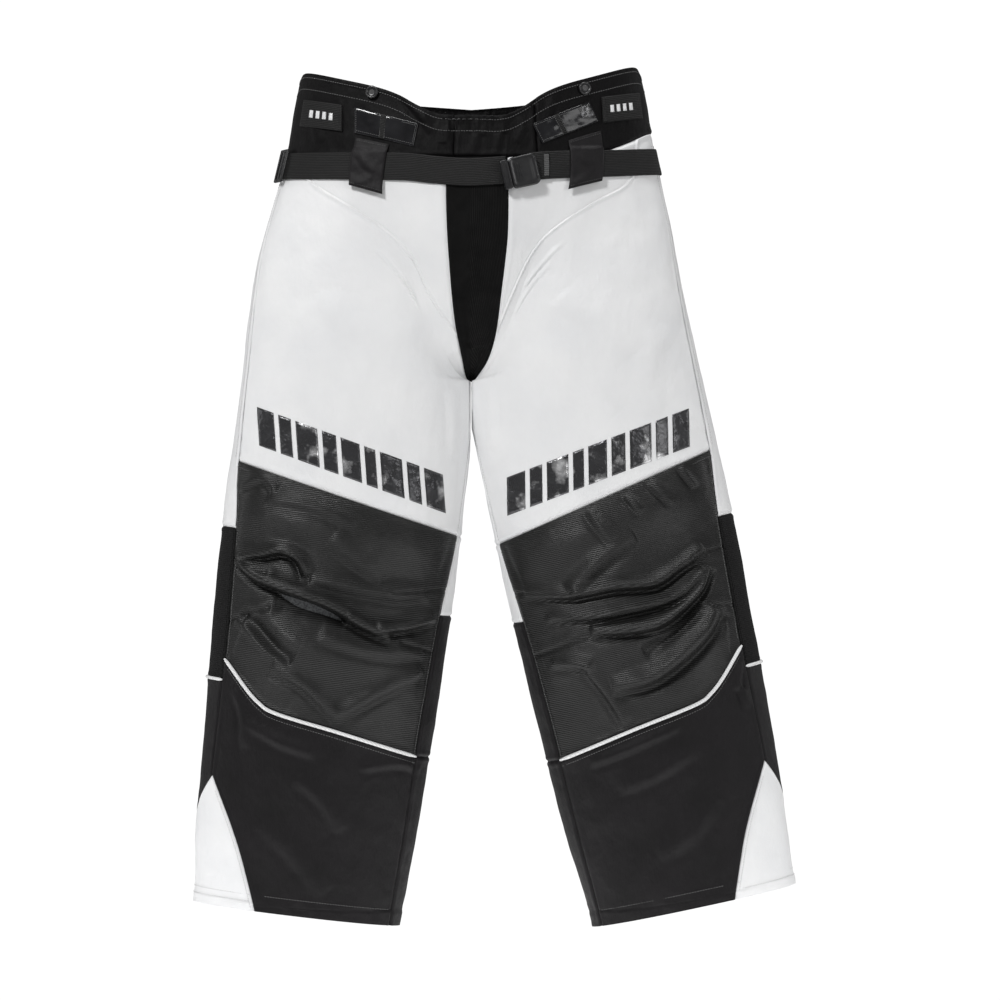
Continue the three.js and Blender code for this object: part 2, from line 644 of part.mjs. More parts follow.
// A flap or a loop: sewn on above the belt, standing clear over it, and a loop is sewn on again below.
const OVER = BELT_OUT + FOLD_GAP;
function flap(at, halfWidth, top, bottom, isLoop) {
  const cols = 3;
  const overRows = 6;
  const clearTop = (w) => beltTop(w) - FOLD_GAP;
  const clearFoot = (w) => (isLoop ? beltFoot(w) + FOLD_GAP : bottom(w));
  const grid = (thick) => {
    const row = (from, to, share, lift) =>
      Array.from({ length: cols + 1 }, (_, c) => {
        const w = lerp(at - halfWidth, at + halfWidth, c / cols);
        return around(w, lerp(from(w), to(w), share), lift + thick);
      });
    const over = Array.from({ length: overRows + 1 }, (_, r) => row(clearTop, clearFoot, r / overRows, OVER));
    const sewn = (from, to, shares) => shares.map((share) => row(from, to, share, STRAP_GAP));
    return [...sewn(top, clearTop, [0, 0.5]), ...over, ...(isLoop ? sewn(clearFoot, bottom, [0.5, 1]) : [])];
  };
  return slab(grid(FLAP_THICK), grid(0));
}
// Each flap's middle and half width round the waist, and its edges as a drop and its slope.
const FLAPS = {
  right: { at: 1.814, half: 0.053, top: [47.5, 105], bottom: [114, 0] },
  left: { at: 0.206, half: 0.037, top: [38, -240], bottom: [107, -130] },
};
for (const side of SIDES) {
  const { at, half, top, bottom } = FLAPS[side];
  const edge = ([drop, slope]) => (w) => drop + slope * (w - at);
  add(`${side}_belt_flap`, flap(at, half, edge(top), edge(bottom), false), "black_nylon");
}
const LOOP = { half: 0.02, sewn: 14 };
for (const [side, at] of [["left", 0.76], ["right", 1.24]])
  add(`${side}_back_loop`, flap(
    at, LOOP.half, (w) => beltTop(w) - LOOP.sewn, (w) => beltFoot(w) + LOOP.sewn, true), "webbing");

// The slider on the right hip, a frame with a bar across its middle.
const SLIDER = { long: 28, tall: 42, thick: 3.2, rim: 4, bar: 5, seat: 0.4 };
{
  const { long, tall, thick, rim, bar } = SLIDER;
  const slot = (long - 2 * rim - bar) / 2;
  const frame = extrude(roundedRectangle(long, tall, 4), thick, 0);
  const slots = [-1, 1].map((way) =>
    extrude(rectangleShape((way * (bar + slot)) / 2, 0, slot, tall - 2 * rim), thick + 2, -1));
  const geometry = cut(frame, slots);
  const w = SLIDER_AT;
  standOn(geometry, w, beltDrop(w), BELT_OUT + FOLD_GAP + SLIDER.seat, 0);
  add("belt_slider", geometry, "plastic");
}

// ---------------------------------------------------------------- the waist adjusters
// The place round the front of the waist at a distance from the middle.
const placeAt = (x, drop) => {
  const [width] = between(HIP_SECTIONS, drop);
  const u = Math.asin(clamp((Math.abs(x) / width) ** (SQUARENESS / 2), 0, 1)) / Math.PI;
  return x < 0 ? 2 - u : u;
};
// A flat piece on the front of the waist between four corners, each a distance from the middle and a drop.
function patch(corners, cols, rows, high, low) {
  const [a, b, c, d] = corners;
  const grid = (lift) =>
    Array.from({ length: rows + 1 }, (_, r) =>
      Array.from({ length: cols + 1 }, (_, n) => {
        const [i, j] = [n / cols, r / rows];
        const mix = (k) => lerp(lerp(a[k], b[k], i), lerp(d[k], c[k], i), j);
        return around(placeAt(mix(0), mix(1)), mix(1), lift);
      }),
    );
  return slab(grid(high), grid(low));
}
const ADJUSTERS = {
  right: {
    band: [[-206, -3], [-158, 6], [-158, 39], [-211, 30]],
    tab: [[-143, 9], [-64, 31], [-70, 59], [-143, 41]],
  },
  left: {
    band: [[161, -4], [208, -12], [212, 20], [163, 28]],
    tab: [[76, 31], [146, 2], [158, 26], [88, 55]],
  },
};
for (const side of SIDES) {
  const { band, tab } = ADJUSTERS[side];
  add(`${side}_adjuster_band`, patch(band, 8, 2, STRAP_GAP + 2, STRAP_GAP), "webbing");
  add(`${side}_adjuster_tab`, patch(tab, 6, 2, STRAP_GAP + TAB_THICK, STRAP_GAP), "gloss_film");
}

// ---------------------------------------------------------------- brace buttons
const BUTTON = { radius: 8, post: 3, thick: 2.6 };
for (const [name, w, drop] of [
  ["right_front_button", placeAt(-121, -9), -9],
  ["left_front_button", placeAt(140, -14), -14],
]) {
  const { radius, post, thick } = BUTTON;
  const profile = [[0, 0], [post, 0], [post, 1.6], [radius, 1.6], [radius, 1.6 + thick], [0, 1.6 + thick]];
  const geometry = new THREE.LatheGeometry(profile.map(([x, y]) => new THREE.Vector2(x, y)), 24);
  geometry.rotateX(Math.PI / 2);
  standOn(geometry, w, drop, STRAP_GAP, 0);
  add(name, geometry, "plastic");
}

// ---------------------------------------------------------------- buckle
const BUCKLE = {
  at: 0.0785, // its middle, as a place round the waist
  drop: 90,
  roll: THREE.MathUtils.degToRad(13),
  long: 34, // the socket, along the belt
  tall: 38,
  deep: 11,
  wall: 2.2,
  plug: 10, // the plug's part outside the socket
  gap: 0.5,
  seat: 0.4, // from the belt's face to the buckle's back
};
const LATCH = { long: 22, tall: 6, lead: 2 };
{
  const { long, tall, deep, wall, plug, gap } = BUCKLE;
  const place = (geometry) => standOn(geometry, BUCKLE.at, BUCKLE.drop, BELT_OUT + BUCKLE.seat, BUCKLE.roll);
  // The socket: a front and a back plate held apart at the belt's end, open at the mouth and at both sides.
  const back = extrude(roundedRectangle(long, tall, 5), wall, 0);
  const front = extrude(roundedRectangle(long, tall, 5), wall, deep - wall);
  const heel = extrude(rectangleShape(long / 2 - 5, 0, 8, tall - 8), deep - 2, 1);
  add("buckle_socket", place(union([back, front, heel])), "plastic");
  // The plug: a bar for the webbing, a base that closes the mouth and a guide down the middle.
  const inside = deep - 2 * wall - 2 * gap;
  const mouth = -long / 2;
  const base = extrude(rectangleShape(mouth - plug / 2 - gap, 0, plug, tall - 2), deep - 2 * gap, gap);
  const guide = extrude(rectangleShape(mouth + 8, 0, 20, 7), inside, wall + gap);
  add("buckle_plug", place(union([base, guide])), "plastic");
  for (const [name, way] of [["upper", 1], ["lower", -1]]) {
    const y = way * (tall / 2 - 2 - LATCH.tall / 2 - LATCH.lead / 2);
    const prong = rectangleShape(mouth + LATCH.long / 2, y, LATCH.long, LATCH.tall);
    add(`buckle_prong_${name}`, place(extrude(prong, inside, wall + gap)), "plastic");
  }
}

export default pants;
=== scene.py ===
"""Goalkeeper hockey pants, as if worn: cloth panels sewn over pads, a buckled belt and waist adjusters.

The cloth follows the same rounded sections as the CAD solids, in millimetres, and each panel is built
again as a fine mesh with its seams, folds and darts. Left and right are the wearer's, so left is +X.
"""
import json
import math

import bpy
import numpy as np
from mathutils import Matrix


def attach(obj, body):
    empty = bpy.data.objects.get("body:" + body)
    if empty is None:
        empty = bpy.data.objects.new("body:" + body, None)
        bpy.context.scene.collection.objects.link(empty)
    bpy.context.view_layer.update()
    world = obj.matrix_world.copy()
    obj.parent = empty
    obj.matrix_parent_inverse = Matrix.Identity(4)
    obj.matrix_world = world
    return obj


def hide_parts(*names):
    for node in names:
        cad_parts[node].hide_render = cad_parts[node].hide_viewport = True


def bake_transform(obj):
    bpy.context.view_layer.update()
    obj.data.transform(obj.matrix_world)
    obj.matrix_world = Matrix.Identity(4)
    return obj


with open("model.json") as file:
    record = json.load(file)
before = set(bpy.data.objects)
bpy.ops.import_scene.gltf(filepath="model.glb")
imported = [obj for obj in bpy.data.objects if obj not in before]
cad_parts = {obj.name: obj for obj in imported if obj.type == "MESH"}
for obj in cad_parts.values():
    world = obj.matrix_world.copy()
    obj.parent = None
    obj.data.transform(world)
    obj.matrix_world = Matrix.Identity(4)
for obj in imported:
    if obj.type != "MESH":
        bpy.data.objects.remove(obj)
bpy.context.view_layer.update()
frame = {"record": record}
MM = 0.001

# ---------------------------------------------------------------- the garment's sizes, in mm
CROTCH_DROP = 345
HIP_X = 139
SPLAY = {"left": math.radians(12), "right": math.radians(6.8)}
SIGN = {"left": 1, "right": -1}
SQUARENESS = 2.2
THIGH_GAP = 1.5
LEG_LENGTH = 669
KNEE_TOP = {"outer": 118, "inner": 178}
VENT_TOP, VENT_BACK_INNER, VENT_FOOT = 200, 278, 389
PIPING_IN, PIPING_OUT = 456, 362
GUSSET_TOP = 508
GUSSET_AT_BACK_SEAM = 604
YOKE_FOOT = {"left": 38, "right": 70}
YOKE_FROM = {"left": 0.14, "right": 0.22}
YOKE_SPAN = {"left": 0.32, "right": 0.2}
YOKE_FOOT_FRONT = 72
SWEEP_FROM = 150
BACK_OUT = 0.565
GROIN_U = 0.36
# The knitted strip's half width behind, and how far it rounds in to the crotch, as shares.
MIDDLE_U = 0.047
MIDDLE_END = 0.93
WAIST_RISE = {"left": 1.08, "right": 0.9}
WEBBING = 34
CLOTH_THICK = 1.6
SIDE_TOP_U = 0.455

# Rows down the hips: below the waist, half width, depth in front, depth behind.
HIP_SECTIONS = [
    (-60, 206, 86, 94), (0, 219, 92, 101), (55, 228, 98, 112), (105, 239, 102, 122),
    (180, 257, 105, 130), (280, 278, 103, 126), (345, 290, 98, 112), (430, 300, 95, 100),
]
# Rows down a leg: below the crotch, half width, depth in front, depth behind.
LEG_SECTIONS = [
    (-420, 147, 98, 114), (-40, 146.5, 95, 104), (60, 147.5, 91, 94), (137, 149, 88, 86),
    (237, 149, 86, 76), (338, 146.5, 82, 73), (437, 143, 72, 74), (540, 139, 64, 69),
    (644, 131, 58, 63), (700, 128, 56, 61),
]
# The inner and outer front seams: below the crotch, share round the leg.
SEAM_IN = [
    (-420, 0.047), (-110, 0.047), (-70, 0.039), (-30, 0.018), (6, 0.012), (70, 0.026), (178, 0.04),
    (278, 0.068), (455, 0.08), (700, 0.072),
]
SEAM_OUT = [
    (-300, 0.455), (0, 0.447), (118, 0.433), (200, 0.414), (362, 0.408), (508, 0.416), (700, 0.42),
]
# The knitted strip's edges at the front, as (below the waist, share round the half).
STRIP_EDGE = {
    "left": [
        (60, 0.0535), (119, 0.0535), (169, 0.0515), (206, 0.048), (244, 0.0455), (300, 0.0455),
        (325, 0.0385), (345, 0.0178),
    ],
    "right": [
        (60, 0.0335), (119, 0.0325), (169, 0.0295), (206, 0.027), (244, 0.025), (281, 0.0225),
        (300, 0.0195), (325, 0.016), (345, 0.0157),
    ],
}
# The waist's top edge, as (share round the half, height over the origin).
WAIST_TOP = [
    (0, -20), (0.05, -19), (0.085, -8), (0.12, 6), (0.16, 16), (0.22, 25), (0.32, 36), (0.4, 41),
    (0.455, 40), (0.5, 33), (0.56, 36), (0.68, 30), (0.84, 12), (1, 2),
]
# The belt's middle, as (place round the waist, below the origin).
BELT_DROP = [
    (0, 91), (0.05, 88), (0.12, 82), (0.25, 79), (0.5, 73), (0.75, 72), (1, 72),
    (1.25, 73), (1.5, 79), (1.75, 82), (1.9, 84), (1.95, 88), (2, 91), (2.05, 90),
]


# ---------------------------------------------------------------- the surface the cloth follows
def between(rows, at):
    """The values at places between the rows, on a smooth curve through them."""
    table = np.array(rows, float)
    at = np.asarray(at, float)
    last = len(table) - 1
    i = np.clip(np.searchsorted(table[:, 0], at, side="left") - 1, 0, last - 1)
    a, b = table[i], table[i + 1]
    before, after = table[np.maximum(i - 1, 0)], table[np.minimum(i + 2, last)]
    span = b[..., :1] - a[..., :1]
    k = np.clip((at[..., None] - a[..., :1]) / span, 0, 1)
    slope_a = (b - before)[..., 1:] / (b - before)[..., :1] * span
    slope_b = (after - a)[..., 1:] / (after - a)[..., :1] * span
    return (
        a[..., 1:] * (2 * k**3 - 3 * k**2 + 1) + slope_a * (k**3 - 2 * k**2 + k)
        + b[..., 1:] * (3 * k**2 - 2 * k**3) + slope_b * (k**3 - k**2)
    )


def ease(v):
    v = np.clip(v, 0, 1)
    return v * v * (3 - 2 * v)


def rounded(v):
    return np.sign(v) * np.abs(v) ** (2 / SQUARENESS)


def lerp(a, b, k):
    return a + (b - a) * k


def drop_at(side, s):
    return CROTCH_DROP + s + HIP_X * math.sin(SPLAY[side])


def leg_at(side, drop):
    return drop - CROTCH_DROP - HIP_X * math.sin(SPLAY[side])


def sweep(quarter):
    return SWEEP_FROM + (CROTCH_DROP - SWEEP_FROM) * np.sin(quarter * math.pi / 2)


def shell(side, u, s):
    """u runs round one half, from the front's middle by the outside to the back's; s runs down the leg."""
    u, s = np.broadcast_arrays(np.asarray(u, float), np.asarray(s, float))
    splay = SPLAY[side]
    drop = drop_at(side, s)
    hip_width, hip_front, hip_back = np.moveaxis(between(HIP_SECTIONS, drop), -1, 0)
    turn = np.cos(np.pi * u)
    hip = np.stack([
        hip_width * rounded(np.sin(np.pi * u)),
        -np.where(turn > 0, hip_front, hip_back) * rounded(turn),
        -drop,
    ], -1)
    leg_width, leg_front, leg_back = np.moveaxis(between(LEG_SECTIONS, s), -1, 0)
    across = -leg_width * rounded(np.cos(2 * np.pi * u))
    forward = np.sin(2 * np.pi * u)
    leg = np.stack([
        np.maximum(HIP_X + s * math.sin(splay) + across * math.cos(splay), THIGH_GAP),
        -np.where(forward > 0, leg_front, leg_back) * rounded(forward),
        -CROTCH_DROP - s * math.cos(splay) + across * math.sin(splay),
    ], -1)
    fork = np.clip((drop - SWEEP_FROM) / (CROTCH_DROP - SWEEP_FROM), 0, 1)
    tilt = np.clip((drop - 60) / (CROTCH_DROP - 60), 0, 1)
    at_middle = 1 - np.sqrt(1 - fork * fork)
    from_middle = ease(np.minimum(u, 1 - u) / 0.22)
    share = lerp(at_middle, ease(tilt), from_middle)[..., None]
    return lerp(hip, leg, share) * np.array([SIGN[side], 1, 1])


def outward(side, u, s):
    step = 0.004
    u, s = np.broadcast_arrays(np.asarray(u, float), np.asarray(s, float))
    above = drop_at(side, s) < CROTCH_DROP
    ahead = np.where(above, np.clip(u + step, 0, 1), u + step)
    behind = np.where(above, np.clip(u - step, 0, 1), u - step)
    turn = shell(side, ahead, s) - shell(side, behind, s)
    down = shell(side, u, s + 2) - shell(side, u, s - 2)
    n = np.cross(down, turn) * SIGN[side]
    return n / np.maximum(np.linalg.norm(n, axis=-1, keepdims=True), 1e-9)


def lifted(side, u, s, lift):
    return shell(side, u, s) + outward(side, u, s) * np.asarray(lift, float)[..., None]


def seam_in(s):
    return between(SEAM_IN, s)[..., 0]


def seam_out(s):
    return between(SEAM_OUT, s)[..., 0]


def strip_edge(side, s):
    return between(STRIP_EDGE[side], drop_at(side, s))[..., 0]


def back_in(s):
    return 1 - seam_in(s)


def back_out(s):
    return np.full(np.shape(s), BACK_OUT)


def across_of(u):
    return -rounded(np.cos(2 * np.pi * np.asarray(u, float)))


def u_across(w):
    w = np.clip(w, -1, 1)
    return np.arccos(-np.sign(w) * np.abs(w) ** (SQUARENESS / 2)) / (2 * np.pi)


def u_at(x, s):
    """The place round the leg's front that lies x mm outwards of the leg's own middle."""
    return u_across(np.asarray(x, float) / between(LEG_SECTIONS, s)[..., 0])


# ---------------------------------------------------------------- edges: functions from 0..1 to (u, s)
def along(seam, start, end):
    return lambda k: (seam(lerp(start, end, k)), lerp(start, end, k))


def straight(a, b):
    return lambda k: (lerp(a[0], b[0], k), lerp(a[1], b[1], k))


def catmull(points):
    """A centripetal curve through points of any dimension, each span taking an equal part of 0..1."""
    pts = np.array(points, float)
    pts = np.vstack([2 * pts[0] - pts[1], pts, 2 * pts[-1] - pts[-2]])

    def at(k):
        k = np.asarray(k, float)
        spans = len(pts) - 3
        i = np.clip(np.floor(k * spans).astype(int), 0, spans - 1)
        t = (k * spans - i)[..., None]
        p0, p1, p2, p3 = (pts[i + n] for n in range(4))
        d0, d1, d2 = (
            np.maximum(np.linalg.norm(q - p, axis=-1, keepdims=True) ** 0.5, 1e-4)
            for p, q in ((p0, p1), (p1, p2), (p2, p3))
        )
        t1 = ((p1 - p0) / d0 - (p2 - p0) / (d0 + d1) + (p2 - p1) / d1) * d1
        t2 = ((p2 - p1) / d1 - (p3 - p1) / (d1 + d2) + (p3 - p2) / d2) * d1
        return (
            p1 * (2 * t**3 - 3 * t**2 + 1) + t1 * (t**3 - 2 * t**2 + t)
            + p2 * (3 * t**2 - 2 * t**3) + t2 * (t**3 - t**2)
        )

    return at


def front_curve(points):
    curve = catmull(points)
    return lambda k: (u_across(curve(k)[..., 0]), curve(k)[..., 1])


def u_curve(points):
    curve = catmull([(u * 1000, s) for u, s in points])
    return lambda k: (curve(k)[..., 0] / 1000, curve(k)[..., 1])


def joined(first, second, share):
    def at(k):
        k = np.asarray(k, float)
        a, b = first(np.clip(k / share, 0, 1)), second(np.clip((k - share) / (1 - share), 0, 1))
        return tuple(np.where(k <= share, p, q) for p, q in zip(a, b))
    return at


def reversed_edge(edge):
    return lambda k: edge(1 - np.asarray(k, float))


def point(u, s):
    return lambda k: (np.full(np.shape(k), u), np.full(np.shape(k), s))


knee_top = front_curve([
    (across_of(seam_in(KNEE_TOP["inner"])), KNEE_TOP["inner"]),
    (across_of(seam_out(KNEE_TOP["outer"])), KNEE_TOP["outer"]),
])
piping_line = front_curve([
    (across_of(seam_in(PIPING_IN)), PIPING_IN), (-0.2, 436), (0.38, 421), (0.52, 411),
    (across_of(seam_out(PIPING_OUT)), PIPING_OUT),
])
GUSSET_HEM = {"front": float(u_across(0.385)), "back": 0.66}
gusset_front = front_curve([
    (across_of(seam_out(GUSSET_TOP)), GUSSET_TOP), (0.62, 582), (0.467, 638), (0.385, LEG_LENGTH),
])
gusset_back = u_curve([
    (float(seam_out(GUSSET_TOP)), GUSSET_TOP), (0.5, 560), (BACK_OUT, GUSSET_AT_BACK_SEAM),
])
gusset_back_foot = u_curve([(BACK_OUT, GUSSET_AT_BACK_SEAM), (0.62, 642), (GUSSET_HEM["back"], LEG_LENGTH)])


def hem(start, end):
    return lambda k: (lerp(start, end, k), np.full(np.shape(k), float(LEG_LENGTH)))


def yoke_foot(side, u):
    k = ease((np.minimum(u, 1 - np.asarray(u, float)) - YOKE_FROM[side]) / YOKE_SPAN[side])
    return leg_at(side, lerp(YOKE_FOOT_FRONT, YOKE_FOOT[side], k))


def yoke_edge(side, start, end):
    def at(k):
        u = lerp(start, end, np.asarray(k, float))
        return u, yoke_foot(side, u)
    return at


def groin_seam(side):
    foot = leg_at(side, float(sweep(0.5)))
    return u_curve([
        (GROIN_U, float(yoke_foot(side, GROIN_U))), (0.315, leg_at(side, 98)), (0.235, leg_at(side, 128)),
        (0.142, leg_at(side, 172)), (0.104, leg_at(side, 197)), (0.072, leg_at(side, 238)),
        (float(strip_edge(side, foot)), foot),
    ])


# The seams over and under the mesh, beside the knee and behind it.
vent_top_side = straight((float(seam_out(VENT_TOP)), VENT_TOP), (BACK_OUT, VENT_TOP))
vent_top_back = straight((BACK_OUT, VENT_TOP), (float(back_in(VENT_BACK_INNER)), VENT_BACK_INNER))
vent_foot_side = straight((float(seam_out(VENT_FOOT)), VENT_FOOT), (BACK_OUT, VENT_FOOT))
vent_foot_back = straight((BACK_OUT, VENT_FOOT), (float(back_in(VENT_FOOT)), VENT_FOOT))


# ---------------------------------------------------------------- noise, folds and seams, in mm
def noise(p, size, seed):
    """Smooth value noise between -1 and 1 on points in mm, with blobs about one size across."""
    q = np.asarray(p, float) / size + seed * 17.31
    cell = np.floor(q).astype(np.int64)
    f = ease(q - cell)
    total = 0
    for corner in np.ndindex(2, 2, 2):
        c = cell + np.array(corner)
        h = (c[..., 0] * 73856093) ^ (c[..., 1] * 19349663) ^ (c[..., 2] * 83492791) ^ (seed * 2654435)
        h = (h ^ (h >> 13)) * 1274126177
        value = ((h ^ (h >> 16)) & 0xFFFF) / 32767.5 - 1
        weight = np.prod(np.where(np.array(corner) == 1, f, 1 - f), axis=-1)
        total = total + value * weight
    return total


def ripple(p, size, seed):
    return noise(p, size, seed) + 0.5 * noise(p, size / 2, seed + 1) + 0.25 * noise(p, size / 4, seed + 2)


def fold(x, s, points, height, width, under):
    """A fold along a smooth line: a ridge with a crease along its lower side, fading at both ends."""
    line = catmull(points)(np.linspace(0, 1, 6 * len(points)))
    best = np.full(np.shape(x), 1e9)
    side_of = np.zeros(np.shape(x))
    place = np.zeros(np.shape(x))
    for n, (a, b) in enumerate(zip(line[:-1], line[1:])):
        d = b - a
        t = np.clip(((x - a[0]) * d[0] + (s - a[1]) * d[1]) / max(d @ d, 1e-9), 0, 1)
        gx, gs = x - a[0] - t * d[0], s - a[1] - t * d[1]
        far = np.hypot(gx, gs)
        closer = far < best
        sign = np.sign(d[0] * gs - d[1] * gx) * np.sign(d[0] if abs(d[0]) > 1e-6 else 1)
        best = np.where(closer, far, best)
        side_of = np.where(closer, sign, side_of)
        place = np.where(closer, (n + t) / (len(line) - 1), place)
    signed = best * side_of
    fade = np.sqrt(np.clip(4 * place * (1 - place), 0, 1)) ** 0.8
    ridge = np.exp(-(((signed + 0.35 * width) / width) ** 2))
    crease = np.exp(-(((signed - 0.55 * width) / (0.5 * width)) ** 2))
    return height * fade * (ridge - under * crease)


def dart(x, s, a, b, depth=2.2, width=2.2):
    """A sewn dart: a sharp crease from the seam inwards, deepest at the seam."""
    a, b = np.array(a, float), np.array(b, float)
    d = b - a
    t = np.clip(((x - a[0]) * d[0] + (s - a[1]) * d[1]) / (d @ d), 0, 1)
    far = np.hypot(x - a[0] - t * d[0], s - a[1] - t * d[1])
    puff = 1.4 * np.exp(-(((far - 7) / 6) ** 2)) * t
    return -depth * np.exp(-((far / width) ** 2)) * (1 - 0.35 * t) + puff


# Folds in the cloth over each knee: places (outwards of the leg's middle, below the crotch), height, width,
# and how deep the crease under the fold is against its ridge.
KNEE_FOLDS = {
    "right": [
        ([(126, 240), (96, 259), (72, 266), (50, 272), (0, 285), (-42, 303), (-78, 314)], 7.5, 10, 0.9),
        ([(124, 236), (92, 231), (68, 224), (48, 231), (36, 250)], 5.5, 8, 0.9),
        ([(30, 256), (-38, 260), (-80, 262), (-116, 256)], 3.5, 12, 0.6),
        ([(-60, 305), (-92, 300), (-132, 284)], 5, 9, 0.9),
        ([(112, 306), (90, 322), (66, 342), (40, 356)], -5.5, 11, 0.4),
        ([(66, 368), (22, 386), (-22, 421)], 3.2, 10, 0.7),
        ([(-22, 421), (-70, 386), (-122, 350)], 3.6, 11, 0.7),
        ([(132, 156), (104, 138), (84, 150)], 2.2, 9, 0.8),
        ([(92, 160), (34, 165), (-20, 180)], 2, 12, 0.6),
        ([(12, 204), (-22, 224), (-56, 248)], 2.6, 14, 0.6),
        ([(70, 288), (34, 292), (-20, 302)], -5, 11, 0.2),
        ([(-130, 214), (0, 196), (130, 186)], 4.5, 30, 0.0),
        ([(-120, 362), (0, 352), (110, 330)], 4.5, 32, 0.0),
        ([(-120, 330), (-60, 334), (10, 322)], 2.6, 12, 0.7),
    ],
    "left": [
        ([(-128, 246), (-66, 260), (-16, 261), (36, 266), (68, 253), (104, 238)], 5.5, 9, 0.9),
        ([(-66, 256), (-38, 236), (-8, 219), (24, 208)], 3.6, 13, 0.6),
        ([(-106, 282), (-48, 291), (-12, 293), (34, 292), (66, 284), (96, 262)], 4.5, 8, 0.9),
        ([(-56, 308), (-16, 315), (26, 317), (60, 304), (88, 284), (106, 260)], 6.5, 9, 0.9),
        ([(-44, 384), (6, 381), (50, 361), (84, 336), (106, 312)], 7, 14, 0.8),
        ([(4, 350), (44, 332), (90, 306)], -5, 11, 0.3),
        ([(-74, 346), (-54, 388), (-38, 430)], 3, 9, 0.8),
        ([(-30, 160), (-20, 182), (-8, 204)], 2.4, 9, 0.8),
        ([(18, 152), (24, 162), (32, 176)], 2.2, 6, 0.8),
        ([(50, 142), (60, 156), (72, 174)], 2.2, 6, 0.8),
        ([(92, 132), (98, 146), (104, 160)], 2, 5, 0.8),
        ([(-110, 338), (-84, 344), (-60, 352)], 3, 9, 0.7),
        ([(-130, 214), (0, 190), (130, 176)], 4.5, 30, 0.0),
        ([(-120, 350), (0, 340), (110, 350)], 4, 30, 0.0),
    ],
}
KNEE_DARTS = {
    "right": [
        ((132, 237), (84, 250)), ((126, 316), (76, 292)),
        ((-144, 245), (-74, 256)), ((-140, 326), (-92, 317)),
    ],
    "left": [
        ((-138, 242), (-68, 254)), ((-130, 323), (-58, 310)),
        ((136, 237), (86, 243)), ((126, 312), (88, 304)),
    ],
}
# Soft folds in the white thighs and the black shins.
THIGH_FOLDS = {
    "right": [
        ([(-60, -170), (-88, -140), (-104, -112)], 1.6, 5, 0.8),
        ([(-74, -150), (-96, -128), (-106, -100)], 1.3, 4, 0.8),
        ([(60, -90), (10, -60), (-50, -50)], 1.4, 26, 0.4),
        ([(100, 20), (40, 45), (-40, 50)], 1.2, 30, 0.4),
        ([(-112, 0), (-120, 40), (-124, 80)], 1.6, 10, 0.6),
    ],
    "left": [
        ([(-54, -190), (-84, -160), (-104, -140)], 1.6, 5, 0.8),
        ([(-62, -160), (-92, -130), (-108, -108)], 1.4, 5, 0.8),
        ([(-30, -110), (20, -70), (50, -10)], 2.2, 22, 0.6),
        ([(-70, -40), (-20, -10), (30, 50)], 1.8, 22, 0.5),
        ([(-112, -20), (-118, 20), (-124, 60)], 1.8, 10, 0.6),
        ([(120, -40), (90, 0), (84, 60)], 1.5, 18, 0.5),
    ],
}
SHIN_FOLDS = {
    "right": [
        ([(90, 440), (50, 458), (0, 470)], 1.6, 10, 0.6),
        ([(20, 500), (-20, 530), (-40, 560)], 1.5, 12, 0.5),
        ([(110, 400), (96, 430), (90, 470)], 1.4, 8, 0.7),
        ([(-60, 480), (-110, 470), (-132, 476)], 1.6, 8, 0.7),
        ([(60, 560), (10, 600), (-30, 640)], 1.2, 16, 0.5),
    ],
    "left": [
        ([(-90, 470), (-40, 462), (30, 446)], 1.8, 9, 0.7),
        ([(-60, 510), (-10, 500), (40, 480)], 1.4, 12, 0.6),
        ([(120, 385), (112, 410), (114, 440)], 1.6, 6, 0.8),
        ([(-30, 600), (20, 580), (60, 540)], 1.2, 16, 0.5),
    ],
}
FOLDS = {"knee": KNEE_FOLDS, "thigh": THIGH_FOLDS, "shin": SHIN_FOLDS}
FOLD_GAIN = {"knee": 1.45, "thigh": 1.3, "shin": 2.2}


def cloth_height(side, u, s):
    """How far the cloth stands off its plain surface, without its edges."""
    p = shell(side, u, s)
    x = across_of(u) * between(LEG_SECTIONS, s)[..., 0]
    front = ease((0.5 - np.asarray(u, float)) / 0.08) * ease((np.asarray(u, float) + 0.02) / 0.04)
    h = 0.9 * ripple(p, 70, 3) + 0.3 * ripple(p, 18, 9)
    for zone, folds in FOLDS.items():
        for points, height, width, under in folds[side]:
            h = h + FOLD_GAIN[zone] * fold(x, s, points, height, width, under) * front
    return h


# ---------------------------------------------------------------- meshes
def new_mesh(name, points, faces, uvs=None):
    mesh = bpy.data.meshes.new(name)
    mesh.from_pydata((np.asarray(points, float) * MM).tolist(), [], [list(f) for f in faces])
    if uvs is not None:
        layer = mesh.uv_layers.new(name="cloth")
        loops = np.empty(len(mesh.loops), np.int32)
        mesh.loops.foreach_get("vertex_index", loops)
        layer.data.foreach_set("uv", (np.asarray(uvs, float)[loops] * MM).ravel())
    mesh.polygons.foreach_set("use_smooth", [True] * len(mesh.polygons))
    mesh.validate()
    obj = bpy.data.objects.new(name, mesh)
    bpy.context.scene.collection.objects.link(obj)
    return obj


def turned_out(points, faces):
    """Reverses the faces if they enclose a negative volume."""
    p = np.asarray(points, float)
    volume = 0.0
    for f in faces:
        a = p[f[0]]
        for b, c in zip(f[1:-1], f[2:]):
            volume += a @ np.cross(p[b], p[c])
    return [tuple(reversed(f)) for f in faces] if volume < 0 else faces


